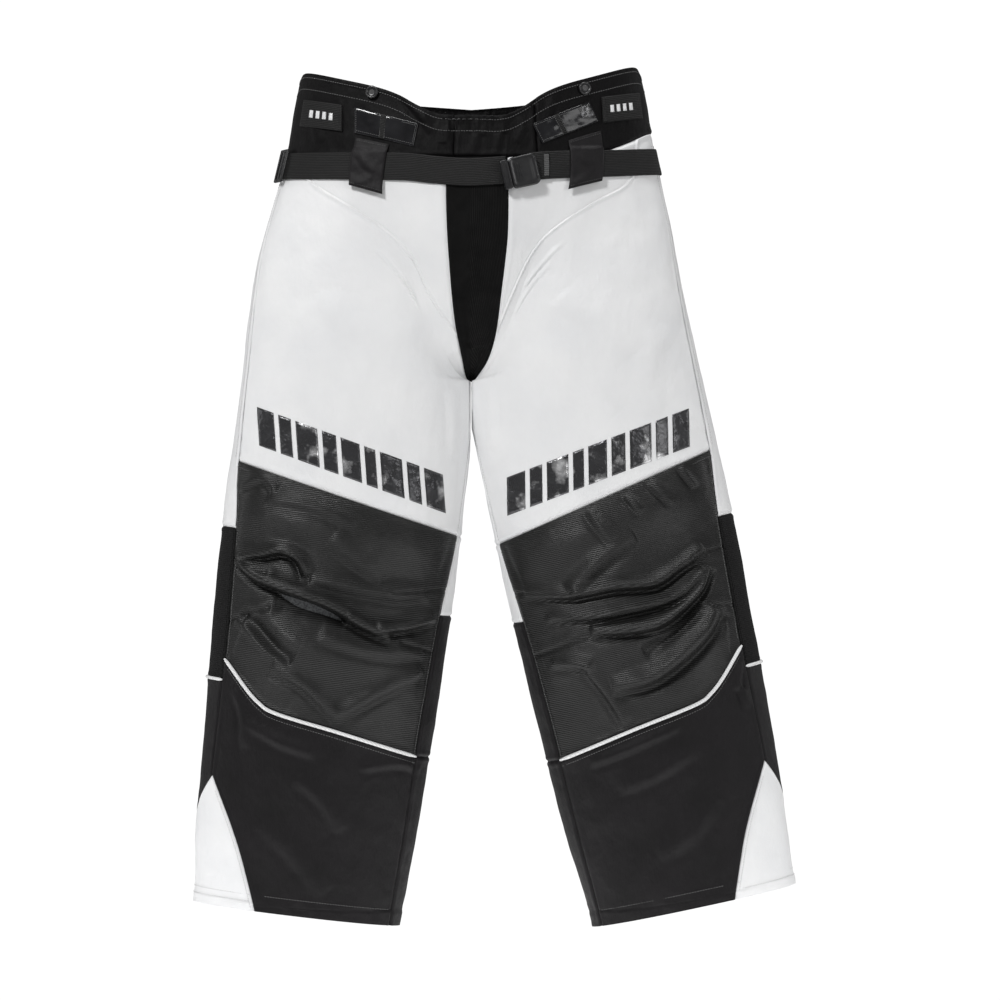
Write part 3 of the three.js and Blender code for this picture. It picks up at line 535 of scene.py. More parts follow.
def slab(name, outer, inner, uv):
    """A closed sheet between two grids of points."""
    rows, cols = outer.shape[:2]
    half = rows * cols
    index = np.arange(half).reshape(rows, cols)
    a, b, c, d = (q.ravel() for q in (index[:-1, :-1], index[1:, :-1], index[1:, 1:], index[:-1, 1:]))
    faces = list(zip(a, b, c, d)) + list(zip(half + a, half + d, half + c, half + b))
    rim = list(index[0, :-1]) + list(index[:-1, -1]) + list(index[-1, :0:-1]) + list(index[:0:-1, 0])
    faces += [(p, q, half + q, half + p) for p, q in zip(rim, rim[1:] + rim[:1])]
    points = np.vstack([outer.reshape(-1, 3), inner.reshape(-1, 3)])
    n = np.cross(outer[1, 0] - outer[0, 0], outer[0, 1] - outer[0, 0])
    if n @ (outer[0, 0] - inner[0, 0]) < 0:
        faces = [tuple(reversed(f)) for f in faces]
    return new_mesh(name, points, faces, np.vstack([uv.reshape(-1, 2)] * 2))


def spread(length, step, fine=(0.0, 0.9, 2.0, 3.4, 5.2, 7.5)):
    """Shares of a length: close together near both ends, then about a step apart."""
    ends = np.array([v for v in fine if v < length * 0.4]) / length
    count = max(int(round((length * (1 - 2 * ends[-1])) / step)), 2)
    middle = np.linspace(ends[-1], 1 - ends[-1], count + 1)
    return np.concatenate([ends[:-1], middle, 1 - ends[:-1][::-1]])


def patch_grid(side, edges, step):
    """(u, s) over a panel between its four edges, and each point's distance from them, in mm."""
    top, bottom, left, right = (edges[k] for k in ("top", "bottom", "left", "right"))

    def at(a, b):
        values = []
        for n in range(2):
            values.append(
                (1 - b) * top(a)[n] + b * bottom(a)[n] + (1 - a) * left(b)[n] + a * right(b)[n]
                - (1 - a) * (1 - b) * top(0.0 * a)[n] - a * (1 - b) * top(0.0 * a + 1)[n]
                - (1 - a) * b * bottom(0.0 * a)[n] - a * b * bottom(0.0 * a + 1)[n]
            )
        return values

    probe = np.linspace(0, 1, 9)
    rough_a, rough_b = np.meshgrid(probe, probe)
    rough = shell(side, *at(rough_a, rough_b))
    wide = np.linalg.norm(np.diff(rough, axis=1), axis=-1).sum(1)
    tall = np.linalg.norm(np.diff(rough, axis=0), axis=-1).sum(0)
    a, b = np.meshgrid(spread(wide.max(), step), spread(tall.max(), step))
    u, s = at(a, b)
    width = np.interp(b, probe, wide)
    height = np.interp(a, probe, tall)
    return u, s, {"left": a * width, "right": (1 - a) * width, "top": b * height, "bottom": (1 - b) * height}


def edge_height(far, kind, p):
    """How the cloth turns at an edge: down into a seam, over a hem, or up and over a stitched lap."""
    if kind == "seam":
        pucker = 0.35 * np.exp(-far / 10) * noise(p, 9, 21)
        return -1.5 * np.exp(-((far / 1.7) ** 2)) + 0.55 * np.exp(-(((far - 4.5) / 2.6) ** 2)) + pucker
    if kind == "lap":
        groove = 0.9 * np.exp(-(((far - 6.5) / 0.9) ** 2))
        return 0.6 * ease((9 - far) / 2) - groove - 0.5 * np.exp(-((far / 1) ** 2))
    if kind == "hem":
        pucker = 0.5 * np.exp(-((far - 21) / 12) ** 2) * noise(p, 11, 22)
        return 0.7 * ease((21 - far) / 2) - 1.0 * np.exp(-(((far - 20) / 1.1) ** 2)) + pucker
    if kind == "ridge":
        return 1.3 * np.exp(-((far / 3.2) ** 2)) - 0.4 * np.exp(-(((far - 6) / 2.0) ** 2))
    return np.zeros_like(far)


# The knee's zone, between these two drops below the crotch. bend_at_knee finds the leg's axis at both ends
# but only bakes each piece's transform; nothing turns there.
KNEE_ZONE = (180, 410)


def leg_axis(side, s):
    splay = SPLAY[side]
    return tuple(v * MM for v in (
        SIGN[side] * (HIP_X + s * math.sin(splay)), 0, -CROTCH_DROP - s * math.cos(splay)))


def bend_at_knee(obj, side):
    start, end = (leg_axis(side, s) for s in KNEE_ZONE)
    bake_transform(obj)
    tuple(start)
    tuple(end)


def panel(side, part, edges, kinds, slot, step=4.5, darts=(), lift=0.0, knee=False, gain=1.0, label=""):
    """One sewn panel of a leg, replacing the CAD node of the same name."""
    u, s, far = patch_grid(side, edges, step)
    p = shell(side, u, s)
    h = lift + gain * cloth_height(side, u, s)
    x = across_of(u) * between(LEG_SECTIONS, s)[..., 0]
    nearest = np.minimum.reduce([far[k] for k in far])
    h = h * lerp(0.35, 1, ease(nearest / 9))
    for a, b in darts:
        h = h + dart(x, s, a, b)
    for k in far:
        h = h + edge_height(far[k], kinds.get(k, "seam"), p)
    outer = lifted(side, u, s, h)
    inner = lifted(side, u, s, h - CLOTH_THICK)
    name = f"{side}_{part}"
    uv = np.stack([far["left"], s], -1)
    obj = slab(f"cloth_{label}{name}", outer, inner, uv)
    dress(obj, slot)
    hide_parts(name)
    if knee:
        bend_at_knee(obj, side)
    else:
        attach(obj, body_of_node(name))
    return obj


def body_of_node(node):
    for body, nodes in frame["record"]["behaviour"]["bodies"].items():
        if node in nodes:
            return body
    raise ValueError(node)


# ---------------------------------------------------------------- finishes
class Nodes:
    """A material's node tree, with short ways to add and join nodes."""

    def __init__(self, name):
        self.material = bpy.data.materials.new(name)
        self.material.use_nodes = True
        self.tree = self.material.node_tree
        self.shader = self.tree.nodes["Principled BSDF"]

    def add(self, kind, **values):
        node = self.tree.nodes.new("ShaderNode" + kind)
        for key, value in values.items():
            if key in node.inputs:
                node.inputs[key].default_value = value
            else:
                setattr(node, key, value)
        return node

    def link(self, a, b):
        self.tree.links.new(a, b)

    def place(self, kind):
        return self.add("TexCoord").outputs[kind]

    def noise(self, scale, detail=4, where="Object", stretch=(1, 1, 1)):
        mapping = self.add("Mapping")
        mapping.inputs["Scale"].default_value = stretch
        self.link(self.place(where), mapping.inputs["Vector"])
        texture = self.add("TexNoise", Scale=scale, Detail=detail)
        self.link(mapping.outputs[0], texture.inputs["Vector"])
        return texture.outputs["Fac"]

    def wave(self, pitch, axis, where="UV", distortion=0.0):
        """Ribs that repeat every pitch metres along an axis."""
        texture = self.add("TexWave", wave_type="BANDS", bands_direction=axis, wave_profile="SIN")
        texture.inputs["Scale"].default_value = 2 * math.pi / (20 * pitch)
        texture.inputs["Distortion"].default_value = distortion
        self.link(self.place(where), texture.inputs["Vector"])
        return texture.outputs["Fac"]

    def math(self, operation, a, b=0.5):
        node = self.add("Math", operation=operation)
        for n, value in enumerate((a, b)):
            if isinstance(value, (int, float)):
                node.inputs[n].default_value = value
            else:
                self.link(value, node.inputs[n])
        return node.outputs[0]

    def ramp(self, value, *stops):
        node = self.add("ValToRGB")
        elements = node.color_ramp.elements
        while len(elements) < len(stops):
            elements.new(0.5)
        for element, (at, colour) in zip(elements, stops):
            element.position = at
            element.color = (*colour, 1) if len(colour) == 3 else colour
        self.link(value, node.inputs["Fac"])
        return node.outputs["Color"]

    def colour(self, value):
        self.link(value, self.shader.inputs["Base Color"])

    def rough(self, value, low, high):
        node = self.add("MapRange")
        node.inputs["To Min"].default_value = low
        node.inputs["To Max"].default_value = high
        self.link(value, node.inputs["Value"])
        self.link(node.outputs[0], self.shader.inputs["Roughness"])

    def bump(self, *layers):
        """Layers of (height, strength, distance in metres), the finest last."""
        previous = None
        for value, strength, distance in layers:
            node = self.add("Bump")
            node.inputs["Strength"].default_value = strength
            node.inputs["Distance"].default_value = distance
            self.link(value, node.inputs["Height"])
            if previous:
                self.link(previous, node.inputs["Normal"])
            previous = node.outputs[0]
        self.link(previous, self.shader.inputs["Normal"])

    def set(self, **values):
        for key, value in values.items():
            self.shader.inputs[key.replace("_", " ")].default_value = value


def grey(v):
    return (v, v, v)


def white_nylon():
    """Coated white nylon: soft creases, a faint weave and a slight gloss."""
    m = Nodes("white_nylon")
    mottle = m.noise(14, 3)
    m.colour(m.ramp(mottle, (0.3, (0.83, 0.835, 0.845)), (0.7, (0.89, 0.892, 0.895))))
    crease = m.noise(26, 5, stretch=(1, 1, 0.6))
    weave = m.math("MULTIPLY", m.wave(0.0008, "X"), m.wave(0.0008, "Y"))
    m.rough(m.noise(60, 2), 0.42, 0.56)
    m.bump((crease, 0.55, 0.006), (m.noise(90, 3), 0.25, 0.0015), (weave, 0.25, 0.0002))
    m.set(Sheen_Weight=0.08, Specular_IOR_Level=0.45)
    return m.material


def black_nylon(name="black_nylon", gain=1.0, shine=0.24):
    """Uncoated black nylon, faintly crinkled along the bias, with a fine weave."""
    m = Nodes(name)
    low = tuple(gain * v for v in (0.0034, 0.0028, 0.0034))
    high = tuple(gain * v for v in (0.0066, 0.0054, 0.0066))
    m.colour(m.ramp(m.noise(18, 3), (0.3, low), (0.7, high)))
    weave = m.math("MULTIPLY", m.wave(0.0009, "X"), m.wave(0.0009, "Y"))
    m.rough(m.noise(70, 2), 0.42, 0.56)
    crinkle = m.noise(34, 5, stretch=(1.4, 1, 0.7))
    m.bump((crinkle, 0.6, 0.005), (m.noise(120, 3), 0.3, 0.001), (weave, 0.5, 0.0002))
    m.set(Sheen_Weight=0.02 * gain, Sheen_Roughness=0.5, Specular_IOR_Level=shine)
    return m.material


def knee_fabric():
    """Satin stretch cloth with fine ribs across the leg."""
    m = Nodes("knee_fabric")
    ribs = m.wave(0.0023, "Y", distortion=0.4)
    tone = m.math("MULTIPLY", ribs, m.noise(30, 3))
    m.colour(m.ramp(tone, (0.05, (0.0018, 0.0018, 0.0017)), (0.6, (0.0085, 0.0085, 0.008))))
    m.rough(ribs, 0.5, 0.37)
    m.bump((m.noise(40, 3), 0.25, 0.002), (ribs, 0.55, 0.0006))
    m.set(Sheen_Weight=0.01, Sheen_Roughness=0.4, Specular_IOR_Level=0.44)
    return m.material


def side_mesh():
    """Knitted spacer mesh: small round holes in staggered rows."""
    m = Nodes("side_mesh")
    holes = m.add("TexVoronoi", Scale=420, Randomness=0.25)
    m.link(m.place("UV"), holes.inputs["Vector"])
    m.colour(m.ramp(holes.outputs["Distance"], (0.25, grey(0.0012)), (0.5, (0.011, 0.0108, 0.011))))
    m.rough(holes.outputs["Distance"], 0.9, 0.6)
    m.bump((m.noise(30, 3), 0.3, 0.004), (holes.outputs["Distance"], 0.8, 0.001))
    m.set(Sheen_Weight=0.01, Specular_IOR_Level=0.15)
    return m.material


def knit():
    """Dark stretch knit with fine ribs down it."""
    m = Nodes("knit")
    ribs = m.wave(0.0017, "X")
    tone = m.math("MULTIPLY", ribs, m.noise(60, 2))
    m.colour(m.ramp(tone, (0.1, grey(0.0012)), (0.6, (0.0075, 0.0072, 0.0072))))
    m.rough(ribs, 0.85, 0.7)
    m.bump((m.noise(22, 3), 0.4, 0.006), (ribs, 0.6, 0.0007))
    m.set(Sheen_Weight=0.01, Specular_IOR_Level=0.15)
    return m.material


def webbing():
    """Woven nylon webbing: lengthwise cords crossed by a fine twill."""
    m = Nodes("webbing")
    cords = m.wave(0.0021, "Y")
    twill = m.wave(0.0011, "DIAGONAL")
    both = m.math("ADD", m.math("MULTIPLY", cords, 0.7), m.math("MULTIPLY", twill, 0.3))
    m.colour(m.ramp(both, (0.1, (0.002, 0.002, 0.002)), (0.9, (0.015, 0.0148, 0.0148))))
    m.rough(both, 0.75, 0.5)
    m.bump((both, 0.7, 0.0007), (m.noise(300, 2), 0.2, 0.0003))
    m.set(Sheen_Weight=0.02, Specular_IOR_Level=0.26)
    return m.material


def gloss_film():
    """A glossy film over dark cloth, wrinkled here and there."""
    m = Nodes("gloss_film")
    m.colour(m.ramp(m.noise(40, 3), (0.3, (0.006, 0.006, 0.007)), (0.7, (0.016, 0.016, 0.018))))
    m.rough(m.noise(90, 2), 0.08, 0.18)
    m.bump((m.noise(26, 3), 0.22, 0.004),)
    m.set(Coat_Weight=0.2, Coat_Roughness=0.04, Specular_IOR_Level=0.28)
    return m.material


def clear_film_painted_glints():
    """The same film loose over its own corner, crinkled, with painted reflections: light grey colour on its
    crinkles.
    """
    m = Nodes("clear_film_painted_glints")
    crinkle = m.noise(240, 5)
    # Painted reflection: the crinkle noise colours the film light grey where light would glint off its
    # crinkles.
    m.colour(m.ramp(crinkle, (0.45, (0.012, 0.012, 0.013)), (0.66, (0.2, 0.2, 0.21))))
    m.rough(crinkle, 0.12, 0.3)
    m.bump((crinkle, 1.0, 0.004),)
    m.set(Coat_Weight=0.6, Coat_Roughness=0.1)
    return m.material


def plastic():
    """Moulded black acetal, with a fine grain and slightly rubbed."""
    m = Nodes("plastic")
    m.colour(m.ramp(m.noise(120, 3), (0.3, (0.008, 0.008, 0.009)), (0.7, (0.015, 0.015, 0.016))))
    m.rough(m.noise(200, 3), 0.24, 0.4)
    m.bump((m.noise(900, 2), 0.12, 0.0004),)
    m.set(Coat_Weight=0.15, Coat_Roughness=0.2)
    return m.material


def piping():
    """White cord wrapped in cloth, with a fine twist."""
    m = Nodes("piping")
    twist = m.wave(0.0024, "DIAGONAL", where="Object")
    m.colour(m.ramp(twist, (0.1, (0.72, 0.72, 0.73)), (0.8, (0.86, 0.86, 0.86))))
    m.rough(twist, 0.7, 0.5)
    m.bump((m.noise(160, 3), 0.4, 0.001), (twist, 0.4, 0.0005))
    m.set(Sheen_Weight=0.1)
    return m.material


def foam():
    """Closed-cell foam under the shell, with an open skin."""
    m = Nodes("foam")
    cells = m.add("TexVoronoi", Scale=380)
    m.link(m.place("Object"), cells.inputs["Vector"])
    m.colour(m.ramp(cells.outputs["Distance"], (0.1, (0.06, 0.062, 0.066)), (0.7, (0.13, 0.135, 0.14))))
    m.rough(cells.outputs["Distance"], 0.95, 0.8)
    m.bump((cells.outputs["Distance"], 0.5, 0.0008),)
    m.set(Sheen_Weight=0.1)
    return m.material


def thread(name, value):
    """Twisted sewing thread."""
    m = Nodes(name)
    twist = m.noise(2600, 2)
    m.colour(m.ramp(twist, (0.3, grey(value * 0.7)), (0.7, grey(value))))
    m.rough(twist, 0.7, 0.5)
    m.bump((twist, 0.4, 0.0003),)
    m.set(Sheen_Weight=0.1)
    return m.material


def foil(name, dark, bright, metallic=0.75):
    """A printed bar of foil, cracked and creased with the cloth."""
    m = Nodes(name)
    crackle = m.noise(34, 6)
    m.colour(m.ramp(crackle, (0.35, dark), (0.54, dark), (0.7, bright)))
    m.rough(m.noise(70, 4), 0.16, 0.42)
    m.bump((m.noise(48, 5), 0.8, 0.006), (m.noise(400, 3), 0.3, 0.0006))
    m.set(Metallic=metallic, Coat_Weight=0.4, Coat_Roughness=0.15)
    return m.material


MATERIALS = {
    "white_nylon": white_nylon(), "black_nylon": black_nylon(), "knee_fabric": knee_fabric(),
    "waist_nylon": black_nylon("waist_nylon", 0.3, 0.13),
    "side_mesh": side_mesh(), "knit": knit(), "webbing": webbing(), "gloss_film": gloss_film(),
    "clear_film_painted_glints": clear_film_painted_glints(), "plastic": plastic(), "piping": piping(), "foam": foam(),
    "thread_white": thread("thread_white", 0.75), "thread_black": thread("thread_black", 0.035),
    "thread_grey": thread("thread_grey", 0.11),
    "foil": foil("foil", (0.07, 0.07, 0.074), (0.85, 0.85, 0.86)),
    "print_white": foil("print_white", (0.75, 0.75, 0.76), (0.85, 0.85, 0.85), 0.0),
}


def dress(obj, material):
    obj.data.materials.clear()
    obj.data.materials.append(MATERIALS[material])
    return obj


# ---------------------------------------------------------------- stitches, cords and prints
def beside(side, edge, across_mm=0.0, down_mm=0.0):
    """An edge moved over the cloth: across towards larger u, and down the leg."""
    def at(k):
        u, s = edge(np.asarray(k, float))
        u, s = np.broadcast_arrays(np.asarray(u, float), np.asarray(s, float))
        width = np.linalg.norm(shell(side, u + 0.004, s) - shell(side, u, s), axis=-1) / 0.004
        return u + across_mm / np.maximum(width, 1), s + down_mm
    return at


def evenly(points, pitch):
    """Places at an even pitch along a line of points, and the way the line runs there."""
    step = np.linalg.norm(np.diff(points, axis=0), axis=1)
    run = np.concatenate([[0], np.cumsum(step)])
    marks = np.arange(pitch / 2, run[-1], pitch)

    def along_line(places):
        return np.stack([np.interp(places, run, points[:, n]) for n in range(3)], 1)

    way = along_line(np.minimum(marks + pitch / 4, run[-1])) - along_line(np.maximum(marks - pitch / 4, 0))
    return along_line(marks), way / np.maximum(np.linalg.norm(way, axis=1, keepdims=True), 1e-9)


def unit(v):
    return v / np.maximum(np.linalg.norm(v, axis=-1, keepdims=True), 1e-9)


def dashes(name, lines, material, pitch=3.4, length=2.5, radius=0.42):
    """Sewn stitches along lines, each a pair (points, outward directions), as small six-sided beads."""
    points, faces = [], []
    for line, out in lines:
        where, way = evenly(line, pitch)
        nearest = np.argmin(np.linalg.norm(line[None] - where[:, None], axis=2), axis=1)
        up = out[nearest]
        turn = unit(np.cross(way, up))
        for p, d, n, t in zip(where, way, up, turn):
            first = len(points)
            for place, size in ((-0.5, 0.45), (-0.3, 1), (0.3, 1), (0.5, 0.45)):
                for corner in range(6):
                    angle = math.pi * corner / 3
                    points.append(
                        p + d * place * length
                        + radius * size * (t * math.cos(angle) * 1.1 + n * math.sin(angle) * 0.8))
            for ring in range(3):
                for corner in range(6):
                    a, b = first + ring * 6 + corner, first + ring * 6 + (corner + 1) % 6
                    faces.append((a, b, b + 6, a + 6))
            faces.append(tuple(first + c for c in range(5, -1, -1)))
            faces.append(tuple(first + 18 + c for c in range(6)))
    obj = new_mesh(name, points, faces)
    return dress(obj, material)


def seam_line(side, edge, lift, count=160, hold=0.5):
    """Points a little over the cloth along an edge, and the ways outwards there."""
    k = np.linspace(0.004, 0.996, count)
    u, s = edge(k)
    h = lift + hold * cloth_height(side, u, s)
    return lifted(side, u, s, h), outward(side, u, s)


def cord_along(name, line, radius):
    """A round piping cord along a line of points, thinner at its ends."""
    sides = 10
    way = unit(np.gradient(line, axis=0))
    side_way = unit(np.cross(way, np.array([0.0, 0.0, 1.0]) + 0 * way))
    up = np.cross(side_way, way)
    rings = []
    for n, (p, a, b) in enumerate(zip(line, side_way, up)):
        size = radius * min(1.0, 0.55 + 0.45 * min(n, len(line) - 1 - n) / 2)
        angles = 2 * np.pi * np.arange(sides) / sides
        rings.append(p + size * (np.cos(angles)[:, None] * a + np.sin(angles)[:, None] * b))
    points = np.vstack(rings)
    faces = []
    for r in range(len(line) - 1):
        for c in range(sides):
            d = (c + 1) % sides
            faces.append((r * sides + c, r * sides + d, (r + 1) * sides + d, (r + 1) * sides + c))
    last = (len(line) - 1) * sides
    faces += [tuple(range(sides - 1, -1, -1)), tuple(last + c for c in range(sides))]
    obj = new_mesh(name, points, turned_out(points, faces))
    return dress(obj, "piping")


# ---------------------------------------------------------------- legs
def build_leg(side):
    """Every panel, pad, cord, stitch and printed bar of one leg."""
    crotch = leg_at(side, CROTCH_DROP)
    groin_foot = leg_at(side, float(sweep(0.5)))
    groin = groin_seam(side)

    def yoke(u):
        return float(yoke_foot(side, u))

    side_top = yoke(0.45)

    def inner_front(k):
        k = np.asarray(k, float)
        share = 3 / 7
        s = np.where(
            k < share,
            leg_at(side, sweep(0.5 + np.clip(k / share, 0, 1) / 2)),
            lerp(crotch, KNEE_TOP["inner"], np.clip((k - share) / (1 - share), 0, 1)))
        return np.where(s < crotch, strip_edge(side, s), seam_in(s)), s

    def inner_back(k):
        k = np.asarray(k, float)
        s = np.where(
            k < 1 / 12, lerp(yoke(1 - MIDDLE_U), leg_at(side, SWEEP_FROM), np.clip(k * 12, 0, 1)),
            np.where(
                k < 7 / 12, leg_at(side, sweep(np.clip((k * 12 - 1) / 6, 0, 1))),
                lerp(crotch, VENT_BACK_INNER, np.clip((k * 12 - 7) / 5, 0, 1))))
        return back_in(s), s

    panel(side, "groin_panel", {
        "top": yoke_edge(side, float(strip_edge(side, yoke(0))), GROIN_U),
        "bottom": point(float(strip_edge(side, groin_foot)), groin_foot),
        "left": along(lambda s: strip_edge(side, s), yoke(0), groin_foot),
        "right": groin,
    }, {"bottom": "none", "right": "ridge"}, "white_nylon", step=3.6)

    panel(side, "thigh_front", {
        "top": joined(reversed_edge(groin), yoke_edge(side, GROIN_U, SIDE_TOP_U), 0.8),
        "bottom": knee_top,
        "left": inner_front,
        "right": along(seam_out, side_top, KNEE_TOP["outer"]),
    }, {"top": "ridge", "bottom": "seam"}, "white_nylon", step=3.6)

    panel(side, "thigh_side", {
        "top": yoke_edge(side, SIDE_TOP_U, BACK_OUT),
        "bottom": vent_top_side,
        "left": along(seam_out, side_top, VENT_TOP),
        "right": along(back_out, yoke(BACK_OUT), VENT_TOP),
    }, {"left": "lap"}, "white_nylon", knee=True)

    panel(side, "thigh_back", {
        "top": yoke_edge(side, BACK_OUT, 1 - MIDDLE_U),
        "bottom": vent_top_back,
        "left": along(back_out, yoke(BACK_OUT), VENT_TOP),
        "right": inner_back,
    }, {}, "white_nylon", knee=True, step=5)

    def inseam(part, start, end, slot, **options):
        panel(side, part, {
            "top": straight((-float(seam_in(start)), start), (float(seam_in(start)), start)),
            "bottom": straight((-float(seam_in(end)), end), (float(seam_in(end)), end)),
            "left": lambda k: (-seam_in(lerp(start, end, k)), lerp(start, end, np.asarray(k, float))),
            "right": along(seam_in, start, end),
        }, {"bottom": "hem" if end == LEG_LENGTH else "seam"}, slot, step=4, lift=-0.3, **options)

    inseam("thigh_inner", crotch + 3, KNEE_TOP["inner"], "white_nylon")
    inseam("knee_inner", KNEE_TOP["inner"], VENT_BACK_INNER, "white_nylon", label="upper_", knee=True)
    inseam("knee_inner", VENT_BACK_INNER, PIPING_IN, "black_nylon", label="lower_", knee=True)
    inseam("shin_inner", PIPING_IN, LEG_LENGTH, "black_nylon")

    panel(side, "knee_cover", {
        "top": knee_top,
        "bottom": piping_line,
        "left": along(seam_in, KNEE_TOP["inner"], PIPING_IN),
        "right": along(seam_out, KNEE_TOP["outer"], PIPING_OUT),
    }, {"top": "lap"}, "knee_fabric", darts=KNEE_DARTS[side], step=2.4, knee=True, gain=1.3)

    panel(side, "side_vent", {
        "top": vent_top_side,
        "bottom": vent_foot_side,
        "left": along(seam_out, VENT_TOP, VENT_FOOT),
        "right": along(back_out, VENT_TOP, VENT_FOOT),
    }, {}, "side_mesh", knee=True)

    panel(side, "knee_vent", {
        "top": vent_top_back,
        "bottom": vent_foot_back,
        "left": along(back_out, VENT_TOP, VENT_FOOT),
        "right": along(back_in, VENT_BACK_INNER, VENT_FOOT),
    }, {}, "side_mesh", knee=True, step=5)

    panel(side, "shin_front", {
        "top": piping_line,
        "bottom": hem(float(seam_in(LEG_LENGTH)), GUSSET_HEM["front"]),
        "left": along(seam_in, PIPING_IN, LEG_LENGTH),
        "right": joined(along(seam_out, PIPING_OUT, GUSSET_TOP), gusset_front, 1 / 3),
    }, {"bottom": "hem", "right": "lap"}, "black_nylon", step=3.2, knee=True)

    panel(side, "shin_side", {
        "top": vent_foot_side,
        "bottom": gusset_back,
        "left": along(seam_out, VENT_FOOT, GUSSET_TOP),
        "right": along(back_out, VENT_FOOT, GUSSET_AT_BACK_SEAM),
    }, {}, "black_nylon", knee=True)

    top_u, top_s = (float(v) for v in gusset_front(np.array(0.0)))
    panel(side, "hem_gusset", {
        "top": point(top_u, top_s),
        "bottom": hem(GUSSET_HEM["front"], GUSSET_HEM["back"]),
        "left": gusset_front,
        "right": joined(gusset_back, gusset_back_foot, 0.5),
    }, {"top": "none", "bottom": "hem"}, "white_nylon", step=3.2, gain=1.6)

    panel(side, "calf_back", {
        "top": vent_foot_back,
        "bottom": hem(GUSSET_HEM["back"], float(back_in(LEG_LENGTH))),
        "left": joined(along(back_out, VENT_FOOT, GUSSET_AT_BACK_SEAM), gusset_back_foot, 0.5),
        "right": along(back_in, VENT_FOOT, LEG_LENGTH),
    }, {"bottom": "hem"}, "black_nylon", knee=True, step=5)

    build_knee_pad(side)
    build_cords(side)
    sew_leg(side, side_top)
    print_bars(side)


def build_knee_pad(side):
    """The foam in front of the knee: a crowned pad that thins to its edges, inside the cloth."""
    edges = {
        "top": straight((0.13, 205), (0.36, 175)), "bottom": straight((0.14, 415), (0.34, 385)),
        "left": straight((0.13, 205), (0.14, 415)), "right": straight((0.36, 175), (0.34, 385)),
    }
    u, s, far = patch_grid(side, edges, 6)
    crown = ease(np.minimum.reduce([far[k] for k in far]) / 22)
    outer = lifted(side, u, s, -12.0 + 3.5 * crown)
    inner = lifted(side, u, s, -13.0 - 2.0 * crown)
    pad = slab(f"pad_{side}_knee", outer, inner, np.stack([far["left"], s], -1))
    dress(pad, "foam")
    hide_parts(f"{side}_knee_foam")
    bend_at_knee(pad, side)


def build_cords(side):
    """The white cord along the knee's lower seam, and the short one across the side below the mesh."""
    line, _ = seam_line(side, piping_line, 1.6, 90)
    cord = cord_along(f"cord_{side}_knee", line, 2.3)
    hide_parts(f"{side}_knee_piping")
    bend_at_knee(cord, side)
    line, _ = seam_line(side, vent_foot_side, 1.4, 40)
    bend_at_knee(cord_along(f"cord_{side}_side", line, 2.0), side)


def sew_leg(side, side_top):
    """Rows of stitches beside the leg's seams."""
    outer = along(seam_out, side_top + 12, KNEE_TOP["outer"] - 4)
    inner = along(seam_in, 30, KNEE_TOP["inner"] - 6)
    white = [
        seam_line(side, beside(side, outer, 6), 0.75),
        seam_line(side, beside(side, outer, -5), 0.5),
        seam_line(side, beside(side, inner, 4.5), 0.5),
    ]
    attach(dashes(f"stitch_{side}_thigh", white, "thread_white"), "pants")
    knee = [
        seam_line(side, beside(side, knee_top, 0, 6.5), 0.2, 200, hold=0.6),
        seam_line(side, beside(side, piping_line, 0, 8), 0.55, 200, hold=0.6),
        seam_line(side, beside(side, along(seam_out, KNEE_TOP["outer"] + 8, PIPING_OUT - 6), -4.5), 0.6),
        seam_line(side, beside(side, along(seam_in, KNEE_TOP["inner"] + 8, PIPING_IN - 6), 4.5), 0.6),
    ]
    bend_at_knee(dashes(f"stitch_{side}_knee", knee, "thread_grey"), side)
    foot = hem(float(seam_in(LEG_LENGTH)) + 0.01, GUSSET_HEM["front"] - 0.012)
    hem_line = [seam_line(side, beside(side, foot, 0, -20), 0.1, 200)]
    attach(dashes(f"stitch_{side}_hem", hem_line, "thread_grey"), f"{side}_shin")
    wedge = hem(GUSSET_HEM["front"] + 0.01, 0.52)

    def front(k):
        return gusset_front(lerp(0.08, 0.97, np.asarray(k, float)))

    lines = [
        seam_line(side, beside(side, wedge, 0, -20), 0.1),
        seam_line(side, beside(side, wedge, 0, -12), 0.9),
        seam_line(side, beside(side, front, 4.5), 0.9),
    ]
    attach(dashes(f"stitch_{side}_wedge", lines, "thread_white"), f"{side}_shin")


# Slanted bars across the front of each thigh, as their places and widths outwards of the leg's middle.
BARS = [(-122, 24), (-92, 16), (-70, 28), (-36, 14), (-16, 24), (14, 18), (38, 28), (72, 16), (94, 22)]
BAR_TALL = 45
BAR_SLANT = 9
BAND_DROP = {"right": (99, -0.235), "left": (103, -0.155)}


def print_bars(side):
    """Plain bars of foil, slanted as a row across the thigh and lying on its folds."""
    middle, slope = BAND_DROP[side]
    for n, (start, wide) in enumerate(BARS):
        a, b = np.meshgrid(np.linspace(0, 1, 9), np.linspace(0, 1, 15))
        x = start + a * wide + BAR_SLANT * (0.5 - b)
        s = middle + slope * x + BAR_TALL * (b - 0.5)
        u = u_at(x, s)
        h = cloth_height(side, u, s) + 0.32
        outer, inner = lifted(side, u, s, h), lifted(side, u, s, h - 0.5)
        bar = slab(f"print_{side}_{n + 1}", outer, inner, np.stack([x, s], -1))
        dress(bar, "foil")
        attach(bar, "pants")


# ---------------------------------------------------------------- waist
# Places round the waist where the elastic panels end, and where the front is gathered.
FRONT_ELASTIC = (-0.0225, 0.105)
GATHERED = (-0.046, 0.04)
BACK_ELASTIC = (0.9, 1.1)
GATHER_HEIGHT = 2.7
GATHER_PITCH = 7.6


